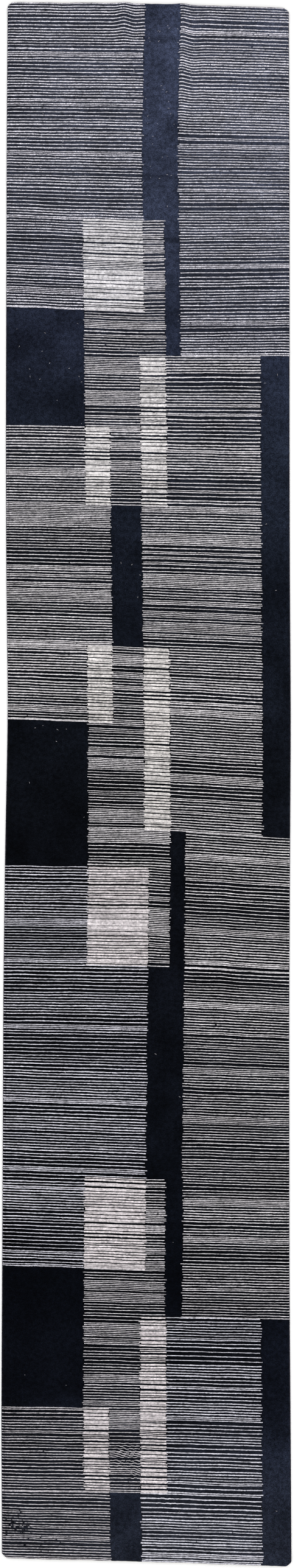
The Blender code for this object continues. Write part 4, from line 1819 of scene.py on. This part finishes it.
@dataclass
class LooseFibres:
    """Short ivory fibres that have worked out of the pile and lie on top of it."""

    cloth: LaidCloth
    count: int = 460
    pile_top: float = 10.9 * MM
    radius: float = 0.30 * MM
    half_width: float = 0.37
    anywhere: tuple[float, float] = (-2.12, 2.15)
    near_the_head: tuple[float, float] = (1.1, 2.17)
    lengths: tuple[float, float] = (1.5, 6.0)  # mm
    curl: float = 1.3
    arch: float = 0.35 * MM
    seed: int = 1212

    def make(self, material: bpy.types.Material) -> bpy.types.Object:
        """Builds the fibres as thin curled threads.

        Args:
            material: The ivory wool.

        Returns:
            The piece.
        """
        rng = np.random.default_rng(self.seed)
        draft = MeshDraft()
        angle = 2 * math.pi * np.arange(4) / 4
        shape = np.array([0.5, 1, 1.1, 1.1, 1, 0.5])  # thickness from end to end
        share = np.linspace(0, 1, len(shape))
        thick = self.radius * shape[:, None]
        ring_z = (self.pile_top + self.arch * np.sin(math.pi * share)[:, None]
                  + thick * np.sin(angle)[None, :])
        for number in range(self.count):
            across = rng.uniform(-self.half_width, self.half_width)
            # Two thirds of them lie in the first metre, where the rug was walked on most.
            along = rng.uniform(*(self.near_the_head if number % 3 else self.anywhere))
            step = rng.uniform(*self.lengths) * MM / (len(shape) - 1)
            heading, curl = rng.uniform(0, 2 * math.pi), rng.normal(0, self.curl)
            turn = heading + curl * share
            path_x = across + np.concatenate(([0], np.cumsum(np.cos(turn[:-1])) * step))
            path_y = along + np.concatenate(([0], np.cumsum(np.sin(turn[:-1])) * step))
            side = turn[:, None] + math.pi / 2
            ring_x = path_x[:, None] + thick * np.cos(angle) * np.cos(side)
            ring_y = path_y[:, None] + thick * np.cos(angle) * np.sin(side)
            rings = self.cloth.lay(ring_x, ring_y, ring_z)
            draft.add_spot_tube(rings, number / self.count)
        return draft.make("loose_ivory_fibres", material)


# --------------------------------------------------------------------------------------------------
# Studio
# --------------------------------------------------------------------------------------------------


@dataclass
class Studio:
    """A pale floor under even soft light, seen from straight above."""

    frame_height: float = 4.4127  # how much of the floor is in view, along the rug
    look_at: tuple[float, float] = (0.0017, -0.0026)
    camera_height: float = 12.0
    sensor: float = 36.0
    dome: float = 1.25
    floor_size: float = 16.0
    floor_gap: float = 0.1 * MM

    def camera(self) -> None:
        """Hangs the camera over the rug, with the whole length in view."""
        data = bpy.data.cameras.new("overhead_camera")
        data.sensor_fit = "VERTICAL"
        data.sensor_height = self.sensor
        data.lens = self.camera_height * self.sensor / self.frame_height
        data.clip_end = 100.0
        camera = bpy.data.objects.new("overhead_camera", data)
        camera.location = (*self.look_at, self.camera_height)
        bpy.context.scene.collection.objects.link(camera)
        bpy.context.scene.camera = camera

    def light(self) -> None:
        """Fills the room with even light from all round."""
        world = bpy.data.worlds.new("white_room")
        world.use_nodes = True
        background = world.node_tree.nodes["Background"]
        background.inputs["Color"].default_value = (1.0, 1.0, 1.0, 1.0)
        background.inputs["Strength"].default_value = self.dome
        bpy.context.scene.world = world
        bpy.context.scene.view_settings.view_transform = "Standard"
        bpy.context.scene.view_settings.look = "None"

    def floor(self) -> bpy.types.Object:
        """Lays the floor just under the rug.

        Returns:
            The floor.
        """
        half = self.floor_size / 2
        mesh = bpy.data.meshes.new("studio_floor")
        mesh.from_pydata([(x * half, y * half, -self.floor_gap)
                          for x, y in ((-1, -1), (1, -1), (1, 1), (-1, 1))], [], [(0, 1, 2, 3)])
        mesh.materials.append(StudioPaint().make())
        floor = bpy.data.objects.new("studio_floor", mesh)
        bpy.context.scene.collection.objects.link(floor)
        floor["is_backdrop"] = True
        return floor


def write_sizes() -> None:
    """Gathers the frame's box and the visual model's box as plain lists."""
    boxes = {"cad": CAD_BOX, "visual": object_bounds()}
    plain = {name: [[float(v) for v in corner] for corner in box] for name, box in boxes.items()}


def main() -> None:
    """Builds the rug, piece by piece, in its studio."""
    logging.basicConfig(level=logging.INFO, format="%(name)s: %(message)s")
    studio = Studio()
    studio.camera()
    studio.light()
    floor = studio.floor()

    cloth = LaidCloth()
    noise = KnotNoise(cloth)
    navy, painted_shade_navy = NAVY_WOOL.make(), NAVY_WOOL_PAINTED_SHADE.make()
    ivory_of = {lot: wool.make() for lot, wool in IVORY_LOTS.items()}
    ivory = ivory_of[Lot.PLAIN]
    fields = cartoon()

    def keep(piece: bpy.types.Object, slot: str, *nodes: str) -> None:
        """Logs a finished piece's face count and hides the frame nodes it stands for.

        Args:
            piece: The piece.
            slot: Its material slot; not used.
            *nodes: The frame nodes it stands for.
        """
        if nodes:
            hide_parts(*nodes)
        LOG.info("%s: %d faces", piece.name, len(piece.data.polygons))

    for plan in fields:
        look = PileFieldLook(plan, cloth, noise)
        # Fields crossed by ivory rows take the navy with painted shade between them.
        keep(look.navy(painted_shade_navy if plan.sets else navy), "pile_navy", plan.node)
        rows = look.ivory(ivory_of[plan.lot])
        if rows is not None:
            keep(rows, plan.slot)

    back = Underside(fields, cloth, noise)
    keep(back.navy(navy), "pile_navy")
    keep(back.ivory(ivory), "pile_striped")

    wrapping, cord = WRAPPING_WOOL.make(), WARP_COTTON.make()
    for side in (-1, 1):
        selvedge = Selvedge(cloth, side)
        keep(selvedge.overcast(wrapping), "selvedge_wool", f"selvedge_overcast_{selvedge.word}")
        keep(selvedge.core(cord), "warp_cord", f"selvedge_core_{selvedge.word}")

    web, thread = WEB_COTTON.make(), SEWING_COTTON.make()
    for end in (1, -1):
        finish = EndFinish(cloth, end)
        keep(finish.web(web), "end_web_cotton", f"end_web_{finish.word}")
        keep(finish.stitches(thread), "sewing_cotton", f"hem_thread_{finish.word}")

    keep(LooseFibres(cloth).make(ivory), "pile_striped")

    ground = GroundCloth(cloth).make(GROUND_COTTON.make())
    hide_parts("foundation")
    LOG.info("%s: %d faces", ground.name, len(ground.data.polygons))
    write_sizes()


if __name__ == "__main__":
    main()
